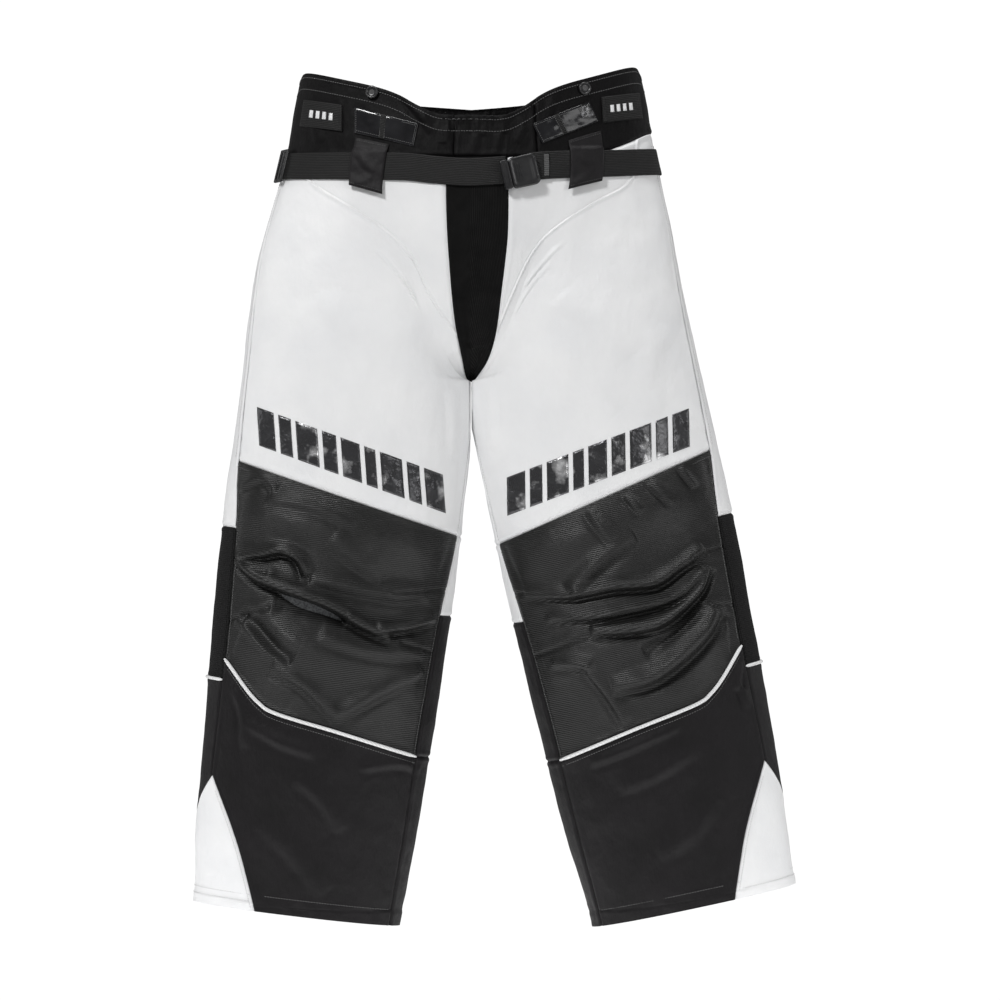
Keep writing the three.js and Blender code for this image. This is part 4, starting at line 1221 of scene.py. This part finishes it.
def around(w, drop, lift=0.0):
    """A point by its place round the waist: 0 front, 0.5 left hip, 1 back, 1.5 right hip."""
    w, drop, lift = np.broadcast_arrays(*(np.asarray(v, float) for v in (w, drop, lift)))
    turn = np.mod(w, 2)
    on_left = turn <= 1
    u = np.where(on_left, turn, 2 - turn)
    p = np.where(
        on_left[..., None],
        lifted("left", u, leg_at("left", drop), lift),
        lifted("right", u, leg_at("right", drop), lift))
    p[..., 0] = np.where((u == 0) | (u == 1), 0, p[..., 0])
    return p


def half_turn(w):
    """The share round a half, front to back, of a place round the waist."""
    turn = np.mod(w, 2)
    return np.where(turn <= 1, turn, 2 - turn)


def by_side(w, values):
    return np.where(np.mod(w, 2) <= 1, values["left"], values["right"])


def top_drop(w):
    """The waist's top edge, as mm below the origin."""
    u = half_turn(w)
    rise = lerp(0.99, by_side(w, WAIST_RISE), ease(np.minimum(u, 1 - u) / 0.12))
    return -between(WAIST_TOP, u)[..., 0] * rise


def foot_drop(w):
    """The waist's lower edge, as mm below the origin."""
    u = half_turn(w)
    k = ease((np.minimum(u, 1 - u) - by_side(w, YOKE_FROM)) / by_side(w, YOKE_SPAN))
    return lerp(YOKE_FOOT_FRONT, by_side(w, YOKE_FOOT), k)


def belt_drop(w):
    """The belt's middle line, as mm below the origin."""
    return between(BELT_DROP, np.mod(w, 2))[..., 0]


# Folds in the front of the waist, as places (towards the left of the middle, below the waist's top).
WAIST_FOLDS = [
    ([(-90, -10), (-70, 14), (-50, 44)], 2.6, 7, 0.8), ([(-76, -4), (-62, 12), (-56, 30)], 2.0, 5, 0.8),
    ([(-56, -2), (-46, 12), (-30, 26)], 1.6, 5, 0.8), ([(86, -14), (98, 6), (112, 30)], 2.2, 6, 0.8),
    ([(110, -12), (100, 12), (90, 36)], 1.8, 6, 0.7), ([(36, 18), (38, 44), (34, 72)], 2.2, 5, 0.8),
    ([(-24, 34), (-28, 56), (-24, 78)], 1.6, 6, 0.7), ([(6, 26), (10, 46), (4, 74)], 1.4, 7, 0.6),
    ([(-190, 10), (-196, 34), (-190, 52)], 1.6, 8, 0.6), ([(60, 22), (64, 40), (60, 56)], 1.2, 5, 0.6),
]


def waist_height(w, drop):
    """How far the waist's cloth stands off its section: waves, gathers and folds, flat under the belt."""
    p = around(w, drop)
    x = p[..., 0]
    front = ease(-p[..., 1] / 30)
    h = 0.7 * ripple(p, 60, 5) + 0.25 * ripple(p, 16, 6)
    below = drop - top_drop(w)
    turn = np.mod(w + 1, 2) - 1
    on_front = ease((turn - GATHERED[0]) / 0.012) * ease((GATHERED[1] - turn) / 0.012)
    on_back = ease((0.1 - np.abs(np.mod(w, 2) - 1)) / 0.02)
    gather = np.sin(2 * np.pi * (x + 2 * noise(p, 14, 31)) / GATHER_PITCH) * np.exp(-((below - 9) / 12) ** 2)
    h = h + GATHER_HEIGHT * gather * np.clip(on_front + on_back, 0, 1)
    for points, height, width, under in WAIST_FOLDS:
        h = h + fold(x, drop, points, height, width, under) * front
    near_belt = ease((WEBBING / 2 + 10 - np.abs(drop - belt_drop(w))) / 10)
    return np.where(near_belt > 0, lerp(h, np.minimum(h, 0.9), near_belt), h)


def girdle_grid(start, stop, top, foot, step):
    """(w, drop) over a piece of the waist, and each point's distance from its edges, in mm."""
    probe = np.linspace(0, 1, 25)
    w = lerp(start, stop, probe)
    line = around(w, 0.5 * (top(w) + foot(w)))
    run = np.concatenate([[0], np.cumsum(np.linalg.norm(np.diff(line, axis=0), axis=1))])
    tall = float(np.max(foot(w) - top(w)))
    a, b = np.meshgrid(spread(run[-1], step), spread(tall, step))
    w = lerp(start, stop, a)
    low, high = foot(w), top(w)
    across = np.interp(a, probe, run)
    down = low - high
    far = {"left": across, "right": run[-1] - across, "top": b * down, "bottom": (1 - b) * down}
    return w, lerp(high, low, b), far


def waist_panel(name, start, stop):
    """One piece of the waist, with its top folded over as a lap and seams on its other sides."""
    w, drop, far = girdle_grid(start, stop, top_drop, foot_drop, 3.2)
    p = around(w, drop)
    h = waist_height(w, drop)
    nearest = np.minimum.reduce([far[k] for k in far])
    h = h * lerp(0.4, 1, ease(nearest / 8))
    for k in far:
        h = h + edge_height(far[k], "lap" if k == "top" else "seam", p)
    uv = np.stack([far["left"], drop], -1)
    obj = slab(f"cloth_{name}", around(w, drop, h), around(w, drop, h - CLOTH_THICK), uv)
    dress(obj, "waist_nylon")
    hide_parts(name)
    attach(obj, "pants")


HIP_PAD = {"reach": 0.11, "top": 90, "foot": 235}


def build_waist():
    """The waist's panels and top stitching, the knitted strips and the hip pads."""
    pieces = [
        ("waist_front_elastic", *FRONT_ELASTIC), ("waist_front_left", FRONT_ELASTIC[1], 0.5),
        ("waist_back_left", 0.5, BACK_ELASTIC[0]), ("waist_back_elastic", *BACK_ELASTIC),
        ("waist_back_right", BACK_ELASTIC[1], 1.5), ("waist_front_right", 1.5, 2 + FRONT_ELASTIC[0]),
    ]
    for name, start, stop in pieces:
        waist_panel(name, start, stop)
    rows = []
    for start, stop in ((0.0, 1.0), (1.0, 2.0)):
        w = np.linspace(start, stop, 260)
        for offset in (5.5, 20):
            drop = top_drop(w) + offset
            p = around(w, drop, waist_height(w, drop) * 0.9 + 0.5)
            rows.append((p, unit(around(w, drop, 5) - around(w, drop, 0))))
    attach(dashes("stitch_waist_top", rows, "thread_grey"), "pants")
    for middle, name in ((2, "crotch_panel"), (1, "seat_panel")):
        middle_strip(middle, name)
    for side, at in (("left", 0.3), ("right", 1.7)):
        w, drop, far = girdle_grid(
            at - HIP_PAD["reach"], at + HIP_PAD["reach"],
            lambda w: HIP_PAD["top"] + 0 * w, lambda w: HIP_PAD["foot"] + 0 * w, 6)
        crown = ease(np.minimum.reduce([far[k] for k in far]) / 20)
        pad = slab(
            f"pad_{side}_hip", around(w, drop, -6.5 + 2.2 * crown), around(w, drop, -8.0 - 1.6 * crown),
            np.stack([far["left"], drop], -1))
        dress(pad, "foam")
        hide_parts(f"{side}_hip_foam")
        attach(pad, "pants")


def middle_strip(middle, name):
    """The knitted strip down the middle of the front or back, rounding in to the crotch."""
    top = float(foot_drop(np.array(float(middle))))
    k = np.concatenate([
        spread(SWEEP_FROM - top, 3.5)[:-1] * (SWEEP_FROM - top) + top,
        sweep(np.linspace(0, MIDDLE_END, 70))])
    a = spread(70, 3.0)
    drop = np.repeat(k[:, None], len(a), 1)
    if middle == 2:
        reach = {side: strip_edge(side, leg_at(side, k)) for side in SIGN}
    else:
        reach = {side: np.where(k < sweep(0.5) - 1, MIDDLE_U, seam_in(leg_at(side, k))) for side in SIGN}
    before, after = ("right", "left") if middle == 2 else ("left", "right")
    across = lerp(-1, 1, a[None, :])
    w = middle + across * np.where(across < 0, reach[before][:, None], reach[after][:, None])
    plain = around(w, drop)
    wide = np.linalg.norm(plain[:, -1] - plain[:, 0], axis=1)[:, None]
    far = np.minimum(a[None, :], 1 - a[None, :]) * wide
    h = 0.9 * ripple(plain, 34, 41) + 0.3 * ripple(plain, 12, 42)
    x = (a[None, :] - 0.5) * wide
    if middle == 2:
        h = h + fold(x, drop, [(-4, 250), (2, 300), (0, 338)], 3.0, 6, 0.6)
        h = h + fold(x, drop, [(-16, 200), (-6, 214), (12, 208)], 1.6, 6, 0.6)
        h = h + fold(x, drop, [(14, 130), (6, 160), (10, 190)], 1.2, 9, 0.5)
    h = h * ease(far / 8) + edge_height(far, "seam", plain)
    uv = np.stack([a[None, :] * wide, drop], -1)
    obj = slab(f"cloth_{name}", around(w, drop, h), around(w, drop, h - CLOTH_THICK), uv)
    dress(obj, "knit")
    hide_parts(name)
    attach(obj, "pants")


# ---------------------------------------------------------------- belt, flaps and adjusters
BELT_GAP, WEBBING_THICK, STRAP_GAP, FOLD_GAP, FLAP_THICK, TAB_THICK = 1.8, 1.8, 0.9, 0.6, 2.2, 1.6
BELT_OUT = BELT_GAP + WEBBING_THICK
OVER = BELT_OUT + FOLD_GAP
BUCKLE_FROM, BUCKLE_TO, SLIDER_AT = 0.05, 0.09, 1.555
# A place on the belt's loose end, which runs from the slider to the plug; build_belt works out a point there
# and does not use it.
END_HELD_TO = 1.88


def strap(name, start, stop, low, high):
    """A run of webbing round the waist, bound at its edges."""
    w, drop, far = girdle_grid(
        start, stop, lambda w: belt_drop(w) - WEBBING / 2, lambda w: belt_drop(w) + WEBBING / 2, 5)
    wobble = 0.35 * ripple(around(w, drop), 40, 51)
    edge = np.minimum(far["top"], far["bottom"])
    h = high + wobble - 0.5 * np.exp(-((edge / 1.1) ** 2))
    uv = np.stack([far["left"], drop - belt_drop(w)], -1)
    obj = slab(name, around(w, drop, h), around(w, drop, low + wobble + 0.1), uv)
    return dress(obj, "webbing")


def build_belt():
    """The belt's main run, its loose end, and the sewn loop that holds the buckle."""
    belt = strap("belt_webbing", BUCKLE_TO, SLIDER_AT, BELT_GAP, BELT_OUT)
    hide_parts("belt")
    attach(belt, "pants")
    end = strap("belt_end_webbing", SLIDER_AT + 0.004, 2 + BUCKLE_FROM, BELT_GAP, BELT_OUT)
    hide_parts("belt_end")
    tuple(around(END_HELD_TO, float(belt_drop(np.array(END_HELD_TO)))) * MM)
    tuple(around(2 + BUCKLE_FROM - 0.02, float(belt_drop(np.array(0.03)))) * MM)
    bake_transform(end)
    # The sewn loop that holds the buckle's socket, doubled and bar-tacked.
    loop = strap("belt_sewn_loop", BUCKLE_TO - 0.004, 0.124, BELT_OUT + 0.1, BELT_OUT + 1.9)
    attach(loop, "pants")
    tack = []
    for n in range(7):
        at = 0.1155 + 0.0012 * n
        drop = np.linspace(-13, 13, 40) + float(belt_drop(np.array(at)))
        p = around(at, drop, BELT_OUT + 2.2)
        tack.append((p, unit(around(at, drop, 9) - around(at, drop, 4))))
    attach(dashes("stitch_belt_tack", tack, "thread_grey", 2.4, 2.2, 0.5), "pants")


# Each flap's corners, as (towards the left of the middle, below the waist): its top from right to left,
# then its foot from left to right.
FLAPS = {
    "right": [(-141, 47), (-100, 56), (-115, 118), (-154, 107)],
    "left": [(120, 51), (160, 38), (166, 102), (128, 112)],
}


def over_belt(w, drop, is_loop=False):
    """How far a strip sewn on above the belt has risen to pass over it, as a share."""
    share = ease((drop - belt_drop(w) + WEBBING / 2 + 7) / 6.4)
    if is_loop:
        share = share * ease((belt_drop(w) + WEBBING / 2 + 7 - drop) / 6.4)
    return share


def flap_height(w, drop, share_down):
    """A flap's underside, off the cloth: soft, and curling away at its free end."""
    p = around(w, drop)
    curl = 2.2 * ease((share_down - 0.7) / 0.3)
    return lerp(STRAP_GAP, OVER, over_belt(w, drop)) + 0.9 * ripple(p, 26, 61) * ease(share_down / 0.3) + curl


def flap_over(side, corners):
    """A flap sewn on above the belt, hanging loose over it."""
    x, drop, edge, across, down = corners_grid(corners, 2.2)
    w = place_at(x, drop)
    share_down = down / np.max(down)
    low = flap_height(w, drop, share_down)
    crease = fold(across, down, [(8, 20), (20, 34), (30, 38)], 1.3, 7, 0.7)
    crease = crease + fold(across, down, [(30, 44), (18, 54), (6, 58)], 1.0, 6, 0.7)
    thick = FLAP_THICK - 0.9 * np.exp(-((edge / 1.2) ** 2)) + crease * ease(edge / 5)
    uv = np.stack([across, down], -1)
    obj = slab(f"flap_{side}", around(w, drop, low + thick), around(w, drop, low), uv)
    dress(obj, "black_nylon")
    k = np.linspace(0.04, 0.96, 60)
    rows = []
    for inset in (0.05, 0.94):
        right_top, left_top, left_foot, right_foot = (np.array(corner, float) for corner in corners)
        at = lerp(lerp(right_top, right_foot, inset), lerp(left_top, left_foot, inset), k[:, None])
        w = place_at(at[:, 0], at[:, 1])
        lift = flap_height(w, at[:, 1], np.full(len(k), inset)) + FLAP_THICK
        line = around(w, at[:, 1], lift)
        rows.append((line, unit(around(w, at[:, 1], lift + 5) - line)))
    return obj, rows


LOOP = {"half": 0.02, "sewn": 14, "stitches_in": 3.6}


def back_loop(side, at):
    """A loop of webbing behind, sewn on above and below the belt and standing over it."""
    def top(w):
        return belt_drop(w) - WEBBING / 2 - LOOP["sewn"]

    def bottom(w):
        return belt_drop(w) + WEBBING / 2 + LOOP["sewn"]

    w, drop, far = girdle_grid(at - LOOP["half"], at + LOOP["half"], top, bottom, 2.6)
    wobble = 0.4 * ripple(around(w, drop), 26, 61)
    low = lerp(STRAP_GAP, OVER, over_belt(w, drop, True))
    edge = np.minimum.reduce([far[k] for k in far])
    h = low + FLAP_THICK - 0.8 * np.exp(-((edge / 1.3) ** 2)) + wobble
    h = h - 0.35 * np.exp(-(((edge - LOOP["stitches_in"]) / 1.0) ** 2))
    uv = np.stack([far["left"], drop], -1)
    obj = slab(f"loop_{side}_back", around(w, drop, h), around(w, drop, low + wobble + 0.1), uv)
    dress(obj, "webbing")
    width = np.linalg.norm(around(at + 0.01, 70.0) - around(at - 0.01, 70.0)) / 0.02
    reach = LOOP["half"] - LOOP["stitches_in"] / width
    w = at + lerp(-reach, reach, np.linspace(0, 1, 60))
    rows = []
    for drop in (top(w) + LOOP["stitches_in"], bottom(w) - LOOP["stitches_in"]):
        q = around(w, drop)
        low = lerp(STRAP_GAP, OVER, over_belt(w, drop, True))
        lift = low + FLAP_THICK + 0.4 * ripple(q, 26, 61) + 0.05
        rows.append((around(w, drop, lift), unit(around(w, drop, 9) - q)))
    return obj, rows


def build_flaps():
    """The two flaps in front and the two loops behind, with their stitches."""
    for side, corners in FLAPS.items():
        obj, rows = flap_over(side, corners)
        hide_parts(f"{side}_belt_flap")
        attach(obj, f"{side}_flap")
        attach(dashes(f"stitch_{side}_flap", rows, "thread_black", 3.0, 2.2, 0.34), f"{side}_flap")
    for side, at in (("left", 0.76), ("right", 1.24)):
        obj, rows = back_loop(side, at)
        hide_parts(f"{side}_back_loop")
        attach(obj, "pants")
        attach(dashes(f"stitch_{side}_loop", rows, "thread_grey", 3.0, 2.2, 0.34), "pants")


def place_at(x, drop):
    """The place round the front of the waist at a distance from the middle."""
    width = between(HIP_SECTIONS, drop)[..., 0]
    u = np.arcsin(np.clip((np.abs(x) / width) ** (SQUARENESS / 2), 0, 1)) / np.pi
    return np.where(np.asarray(x) < 0, 2 - u, u)


# The adjusters' bands and tabs, by their corners as for the flaps, and where each tab's webbing strip starts.
ADJUSTERS = {
    "right": {
        "band": [(-206, -3), (-158, 6), (-158, 39), (-211, 30)],
        "tab": [(-143, 9), (-64, 31), (-70, 59), (-143, 41)],
        "strip": 0.41,
    },
    "left": {
        "band": [(161, -4), (208, -12), (212, 20), (163, 28)],
        "tab": [(76, 31), (146, 2), (158, 26), (88, 55)],
        "strip": 0.36,
    },
}


def corners_grid(corners, step, within=(0, 1, 0, 1)):
    """A grid over part of a four-cornered piece: places, mm from the nearest edge, mm across and down."""
    a, b, c, d = (np.array(p, float) for p in corners)
    wide, tall = np.linalg.norm(b - a), np.linalg.norm(d - a)
    i = lerp(within[0], within[1], spread(wide * (within[1] - within[0]), step, (0, 0.7, 1.6, 3.0)))
    j = lerp(within[2], within[3], spread(tall * (within[3] - within[2]), step, (0, 0.7, 1.6, 3.0)))
    i, j = np.meshgrid(i, j)
    at = lerp(lerp(a, b, i[..., None]), lerp(d, c, i[..., None]), j[..., None])
    edge = np.minimum(
        np.minimum(i - within[0], within[1] - i) * wide, np.minimum(j - within[2], within[3] - j) * tall)
    return at[..., 0], at[..., 1], edge, i * wide, j * tall


def waist_patch(name, corners, low, thick, material, step=2.4, within=(0, 1, 0, 1), crinkle=0.0, seed=71):
    """A four-cornered piece, or a part of it, lying on the front of the waist."""
    x, drop, edge, i, j = corners_grid(corners, step, within)
    w = place_at(x, drop)
    p = around(w, drop)
    base = low + 0.35 * ripple(p, 30, seed)
    h = base + thick - 0.6 * np.exp(-((edge / 1.0) ** 2)) + crinkle * ripple(p, 9, seed + 3) * ease(edge / 2)
    obj = slab(name, around(w, drop, h), around(w, drop, base), np.stack([i, j], -1))
    return dress(obj, material)


def patch_line(corners, places, lift):
    """Points over a four-cornered piece by their shares across and down, and the ways outwards there."""
    a, b, c, d = (np.array(p, float) for p in corners)
    i, j = places
    i, j = np.broadcast_arrays(i, j)
    at = lerp(lerp(a, b, i[..., None]), lerp(d, c, i[..., None]), j[..., None])
    w = place_at(at[..., 0], at[..., 1])
    p = around(w, at[..., 1], lift)
    return p, unit(around(w, at[..., 1], lift + 5) - p)


def build_adjusters():
    """The elastic bands with their printed bars, and the glossy tabs with their strips and stitches."""
    k = np.linspace(0.03, 0.97, 80)
    for side, parts in ADJUSTERS.items():
        band = waist_patch(f"band_{side}", parts["band"], STRAP_GAP, 2.0, "webbing", seed=72)
        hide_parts(f"{side}_adjuster_band")
        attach(band, "pants")
        for n in range(4):
            share = 0.2 + 0.16 * n
            bar = waist_patch(
                f"print_{side}_band_{n + 1}", parts["band"], STRAP_GAP + 2.0, 0.35, "print_white", 3,
                (share, share + 0.09, 0.36, 0.64), seed=72)
            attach(bar, "pants")
        # The band folds back on itself beside the tab.
        ridge = (0.93, 1.0, 0.02, 0.98) if side == "right" else (0.0, 0.07, 0.02, 0.98)
        folded = waist_patch(f"band_fold_{side}", parts["band"], STRAP_GAP + 1.9, 1.6, "webbing", 2, ridge)
        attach(folded, "pants")
        tab = waist_patch(f"tab_{side}", parts["tab"], STRAP_GAP, TAB_THICK, "gloss_film", 2.2, crinkle=0.25)
        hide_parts(f"{side}_adjuster_tab")
        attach(tab, f"{side}_tab")
        at = parts["strip"]
        strip = waist_patch(
            f"tab_strip_{side}", parts["tab"], STRAP_GAP + TAB_THICK - 0.2, 0.7, "webbing", 2.4,
            (at, at + 0.1, 0.0, 1.0), seed=71)
        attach(strip, f"{side}_tab")
        top = STRAP_GAP + TAB_THICK + 0.15
        rows = [patch_line(parts["tab"], places, top) for places in (
            (k, 0.1 + 0 * k), (k, 0.9 + 0 * k), (0.03 + 0 * k, k), (0.97 + 0 * k, k),
            (at + 0.012 + 0 * k, k), (at + 0.088 + 0 * k, k))]
        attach(dashes(f"stitch_{side}_tab", rows, "thread_grey", 2.6, 1.9, 0.3), f"{side}_tab")
    # The loose corner uses the film whose crinkles carry painted reflections in their colour.
    loose = waist_patch(
        "tab_left_clear_corner", ADJUSTERS["left"]["tab"], STRAP_GAP + TAB_THICK, 0.8, "clear_film_painted_glints", 1.2,
        (0.78, 0.98, 0.1, 0.66), crinkle=1.0)
    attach(loose, "left_tab")


def stand_on(w, drop, lift, roll=0.0):
    """A frame on the waist: its origin, and the ways along, up and out."""
    foot = around(w, drop, lift)
    out = unit(around(w, drop, lift + 10) - foot)
    along_waist = unit(np.cross([0.0, 0.0, 1.0], out))
    up = np.cross(out, along_waist)
    turned = along_waist * math.cos(roll) + up * math.sin(roll)
    return foot, turned, np.cross(out, turned), out


def rounded_outline(x, y, wide, tall, radius):
    """A rectangle about (x, y) with rounded corners."""
    corner = 5
    points = []
    for n, (cx, cy) in enumerate(((1, 1), (-1, 1), (-1, -1), (1, -1))):
        for angle in np.linspace(n * math.pi / 2, (n + 1) * math.pi / 2, corner + 1):
            points.append((
                x + cx * (wide / 2 - radius) + radius * math.cos(angle),
                y + cy * (tall / 2 - radius) + radius * math.sin(angle)))
    return np.array(points)


def moulded(name, stand, shapes):
    """Plates with eased edges: each an outline and its layers, (inset, height), from back to front."""
    foot, along_waist, up, out = stand
    points, faces = [], []
    for outline, layers in shapes:
        middle = (outline.min(0) + outline.max(0)) / 2
        half = (outline.max(0) - outline.min(0)) / 2
        n = len(outline)
        first = len(points)
        for inset, height in layers:
            ring = middle + (outline - middle) * np.maximum(1 - inset / half, 0.05)
            points += [foot + along_waist * x + up * y + out * height for x, y in ring]
        for layer in range(len(layers) - 1):
            for c in range(n):
                a, d = first + layer * n + c, first + layer * n + (c + 1) % n
                faces.append((a, d, d + n, a + n))
        faces.append(tuple(first + c for c in range(n - 1, -1, -1)))
        last = first + (len(layers) - 1) * n
        faces.append(tuple(last + c for c in range(n)))
    obj = new_mesh(name, points, faces)
    for polygon in obj.data.polygons:
        polygon.use_smooth = len(polygon.vertices) == 4
    return dress(obj, "plastic")


def eased(low, high, edge=0.6):
    """The layers of a plate with both its edges rounded over."""
    return [(edge, low), (edge * 0.3, low + edge * 0.3), (0, low + edge), (0, high - edge),
            (edge * 0.3, high - edge * 0.3), (edge, high)]


BUCKLE = {"at": 0.0785, "drop": 90, "roll": math.radians(13), "long": 34, "tall": 38, "deep": 11, "wall": 2.2}
SLIDER = {"wide": 28, "high": 42, "thick": 3.2, "rim": 4, "bar": 5}
BUTTON_RADIUS = 8
# The brace buttons: towards the left of the middle, below the waist.
BUTTONS_AT = {"right": (-121, -9), "left": (140, -14)}


def build_hardware():
    """The buckle's socket, plug and prongs, the slider and the brace buttons."""
    build_buckle()
    build_slider()
    build_buttons()


def build_buckle():
    """A side-release buckle: a socket with a ribbed, crowned face, and a plug with two sprung prongs."""
    long, tall, deep, wall = (BUCKLE[k] for k in ("long", "tall", "deep", "wall"))
    stand = stand_on(BUCKLE["at"], BUCKLE["drop"], BELT_OUT + 0.4, BUCKLE["roll"])
    plate = rounded_outline(0, 0, long, tall, 5)
    crown = [(0.9, deep - wall), (0.2, deep - wall + 0.4), (0, deep - 1.2), (0.5, deep - 0.5), (1.4, deep),
             (2.6, deep + 0.1), (3.2, deep - 0.3), (5.0, deep - 0.2), (9.0, deep + 0.2)]
    back_block = rounded_outline(12, 0, 8, tall - 8, 2)
    socket = [(plate, eased(0, wall)), (plate, crown), (back_block, eased(1, deep - 1))]
    for n in range(3):
        rib = rounded_outline(-9.5 + 2.6 * n, 0, 1.2, tall - 16, 0.5)
        socket.append((rib, eased(deep - 0.6, deep + 0.8, 0.3)))
    for way in (-1, 1):
        socket.append((rounded_outline(15.2, way * 11, 3, 5, 1), eased(deep - 1.5, deep + 0.4, 0.5)))
    shell_piece = moulded("buckle_socket_shell", stand, socket)
    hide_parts("buckle_socket")
    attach(shell_piece, "pants")
    base = [
        (rounded_outline(-22.5, 0, 10, tall - 2, 2.4), eased(0.5, deep - 0.5, 1.0)),
        (rounded_outline(-25.6, 0, 1.2, tall - 10, 0.5), eased(deep - 1.0, deep + 0.5, 0.4)),
        (rounded_outline(-20.2, 0, 1.2, tall - 10, 0.5), eased(deep - 1.0, deep + 0.5, 0.4)),
        (rounded_outline(-9, 0, 20, 7, 1.5), eased(2.8, 8.2, 0.6)),
    ]
    plug = moulded("buckle_plug_body", stand, base)
    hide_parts("buckle_plug")
    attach(plug, "plug")
    for name, way in (("upper", 1), ("lower", -1)):
        arm = [
            (rounded_outline(-6, way * 13, 22, 6, 1.6), eased(2.8, 8.2, 0.8)),
            (rounded_outline(1.5, way * 14.2, 6, 4.6, 1.6), eased(2.9, 8.1, 0.8)),
        ]
        for n in range(5):
            rib = rounded_outline(-9 + 2.2 * n, way * 15.6, 0.9, 1.4, 0.4)
            arm.append((rib, eased(3.4, 7.6, 0.3)))
        prong = moulded(f"buckle_prong_{name}_arm", stand, arm)
        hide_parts(f"buckle_prong_{name}")
        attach(prong, f"prong_{name}")


def build_slider():
    """The belt's slider: a frame with a middle bar."""
    wide, high, thick, rim, middle = (SLIDER[k] for k in ("wide", "high", "thick", "rim", "bar"))
    stand = stand_on(SLIDER_AT, float(belt_drop(np.array(SLIDER_AT))), OVER + 0.4)
    uprights = ((-wide / 2 + rim / 2, rim), (0, middle), (wide / 2 - rim / 2, rim))
    bars = [rounded_outline(x, 0, w, high, 1.8) for x, w in uprights]
    bars += [rounded_outline(0, y, wide, rim, 1.8) for y in (-high / 2 + rim / 2, high / 2 - rim / 2)]
    slider = moulded("belt_slider_frame", stand, [(bar, eased(0.0, thick, 0.9)) for bar in bars])
    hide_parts("belt_slider")
    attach(slider, "pants")


def build_buttons():
    """The two brace buttons: a foot, a rim and a dished face."""
    angles = np.linspace(0, 2 * math.pi, 32, endpoint=False)
    disc = np.stack([BUTTON_RADIUS * np.cos(angles), BUTTON_RADIUS * np.sin(angles)], 1)
    dish = [
        (5, 0), (5, 1.6), (0.5, 1.6), (0, 2.1), (0, 3.2),
        (0.6, 4.0), (1.4, 4.2), (2.2, 3.9), (2.8, 3.2), (5, 3.1),
    ]
    for side, (x, drop) in BUTTONS_AT.items():
        stand = stand_on(float(place_at(np.array(float(x)), np.array(float(drop)))), drop, STRAP_GAP)
        button = moulded(f"brace_button_{side}", stand, [(disc, dish)])
        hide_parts(f"{side}_front_button")
        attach(button, "pants")


# ---------------------------------------------------------------- camera, floor and light
SKY_LIGHT = 0.2
SKY_SEEN = 1.05
CAMERA_LENS = 172.8
CAMERA_PLACE = (0.03625, -6.0, -0.49375)
FLOOR_Z = -1300
# Each light's place, target, size and power, in metres and watts.
LIGHTS = {
    "key": ((-1.5, -2.6, 2.0), (0, 0, -0.5), (0.6, 0.6), 76),
    "fill": ((2.2, -3.0, 0.4), (0, 0, -0.5), (1.4, 1.6), 24),
    "top": ((0.2, -0.2, 2.6), (0, 0, -0.4), (1.2, 0.4), 34),
    "left_edge": ((-2.2, 0.3, 0.0), (0, 0, -0.5), (0.6, 1.6), 7),
    "right_edge": ((2.2, 0.4, 0.0), (0, 0, -0.5), (0.6, 1.6), 7),
}


def area_light(name, place, target, size, power):
    """A rectangular light turned towards its target."""
    light = bpy.data.lights.new(name, "AREA")
    light.shape = "RECTANGLE"
    light.size, light.size_y = size
    light.energy = power
    obj = bpy.data.objects.new(name, light)
    obj.location = place
    direction = np.array(target) - np.array(place)
    yaw = math.atan2(direction[1], direction[0]) - math.pi / 2
    pitch = math.atan2(direction[2], math.hypot(direction[0], direction[1]))
    obj.rotation_euler = (math.pi / 2 + pitch, 0, yaw)
    bpy.context.scene.collection.objects.link(obj)


def build_studio():
    """The camera, a white floor, the lights, and a sky that is white where the camera sees it."""
    camera = bpy.data.cameras.new("camera")
    camera.type = "PERSP"
    camera.sensor_width = 36
    camera.lens = CAMERA_LENS
    view = bpy.data.objects.new("camera", camera)
    view.location = CAMERA_PLACE
    view.rotation_euler = (math.pi / 2, 0, 0)
    bpy.context.scene.collection.objects.link(view)
    bpy.context.scene.camera = view

    pale = bpy.data.materials.new("studio_white")
    pale.use_nodes = True
    shader = pale.node_tree.nodes["Principled BSDF"]
    shader.inputs["Base Color"].default_value = (0.95, 0.95, 0.95, 1)
    shader.inputs["Roughness"].default_value = 0.9
    shader.inputs["Emission Color"].default_value = (1, 1, 1, 1)
    shader.inputs["Emission Strength"].default_value = 0.95
    points = [(x, y, FLOOR_Z) for x, y in ((-1500, -900), (1500, -900), (1500, 900), (-1500, 900))]
    floor = new_mesh("floor", points, [(0, 1, 2, 3)])
    floor.data.materials.append(pale)

    for name, settings in LIGHTS.items():
        area_light(name, *settings)
    world = bpy.data.worlds.new("world")
    world.use_nodes = True
    tree = world.node_tree
    sky = tree.nodes["Background"]
    sky.inputs["Color"].default_value = (1, 1, 1, 1)
    path = tree.nodes.new("ShaderNodeLightPath")
    strength = tree.nodes.new("ShaderNodeMapRange")
    strength.inputs["To Min"].default_value = SKY_LIGHT
    strength.inputs["To Max"].default_value = SKY_SEEN
    tree.links.new(path.outputs["Is Camera Ray"], strength.inputs["Value"])
    tree.links.new(strength.outputs[0], sky.inputs["Strength"])
    bpy.context.scene.world = world
    bpy.context.scene.view_settings.view_transform = "Standard"


build_studio()
for each_side in ("right", "left"):
    build_leg(each_side)
build_waist()
build_belt()
build_flaps()
build_adjusters()
build_hardware()
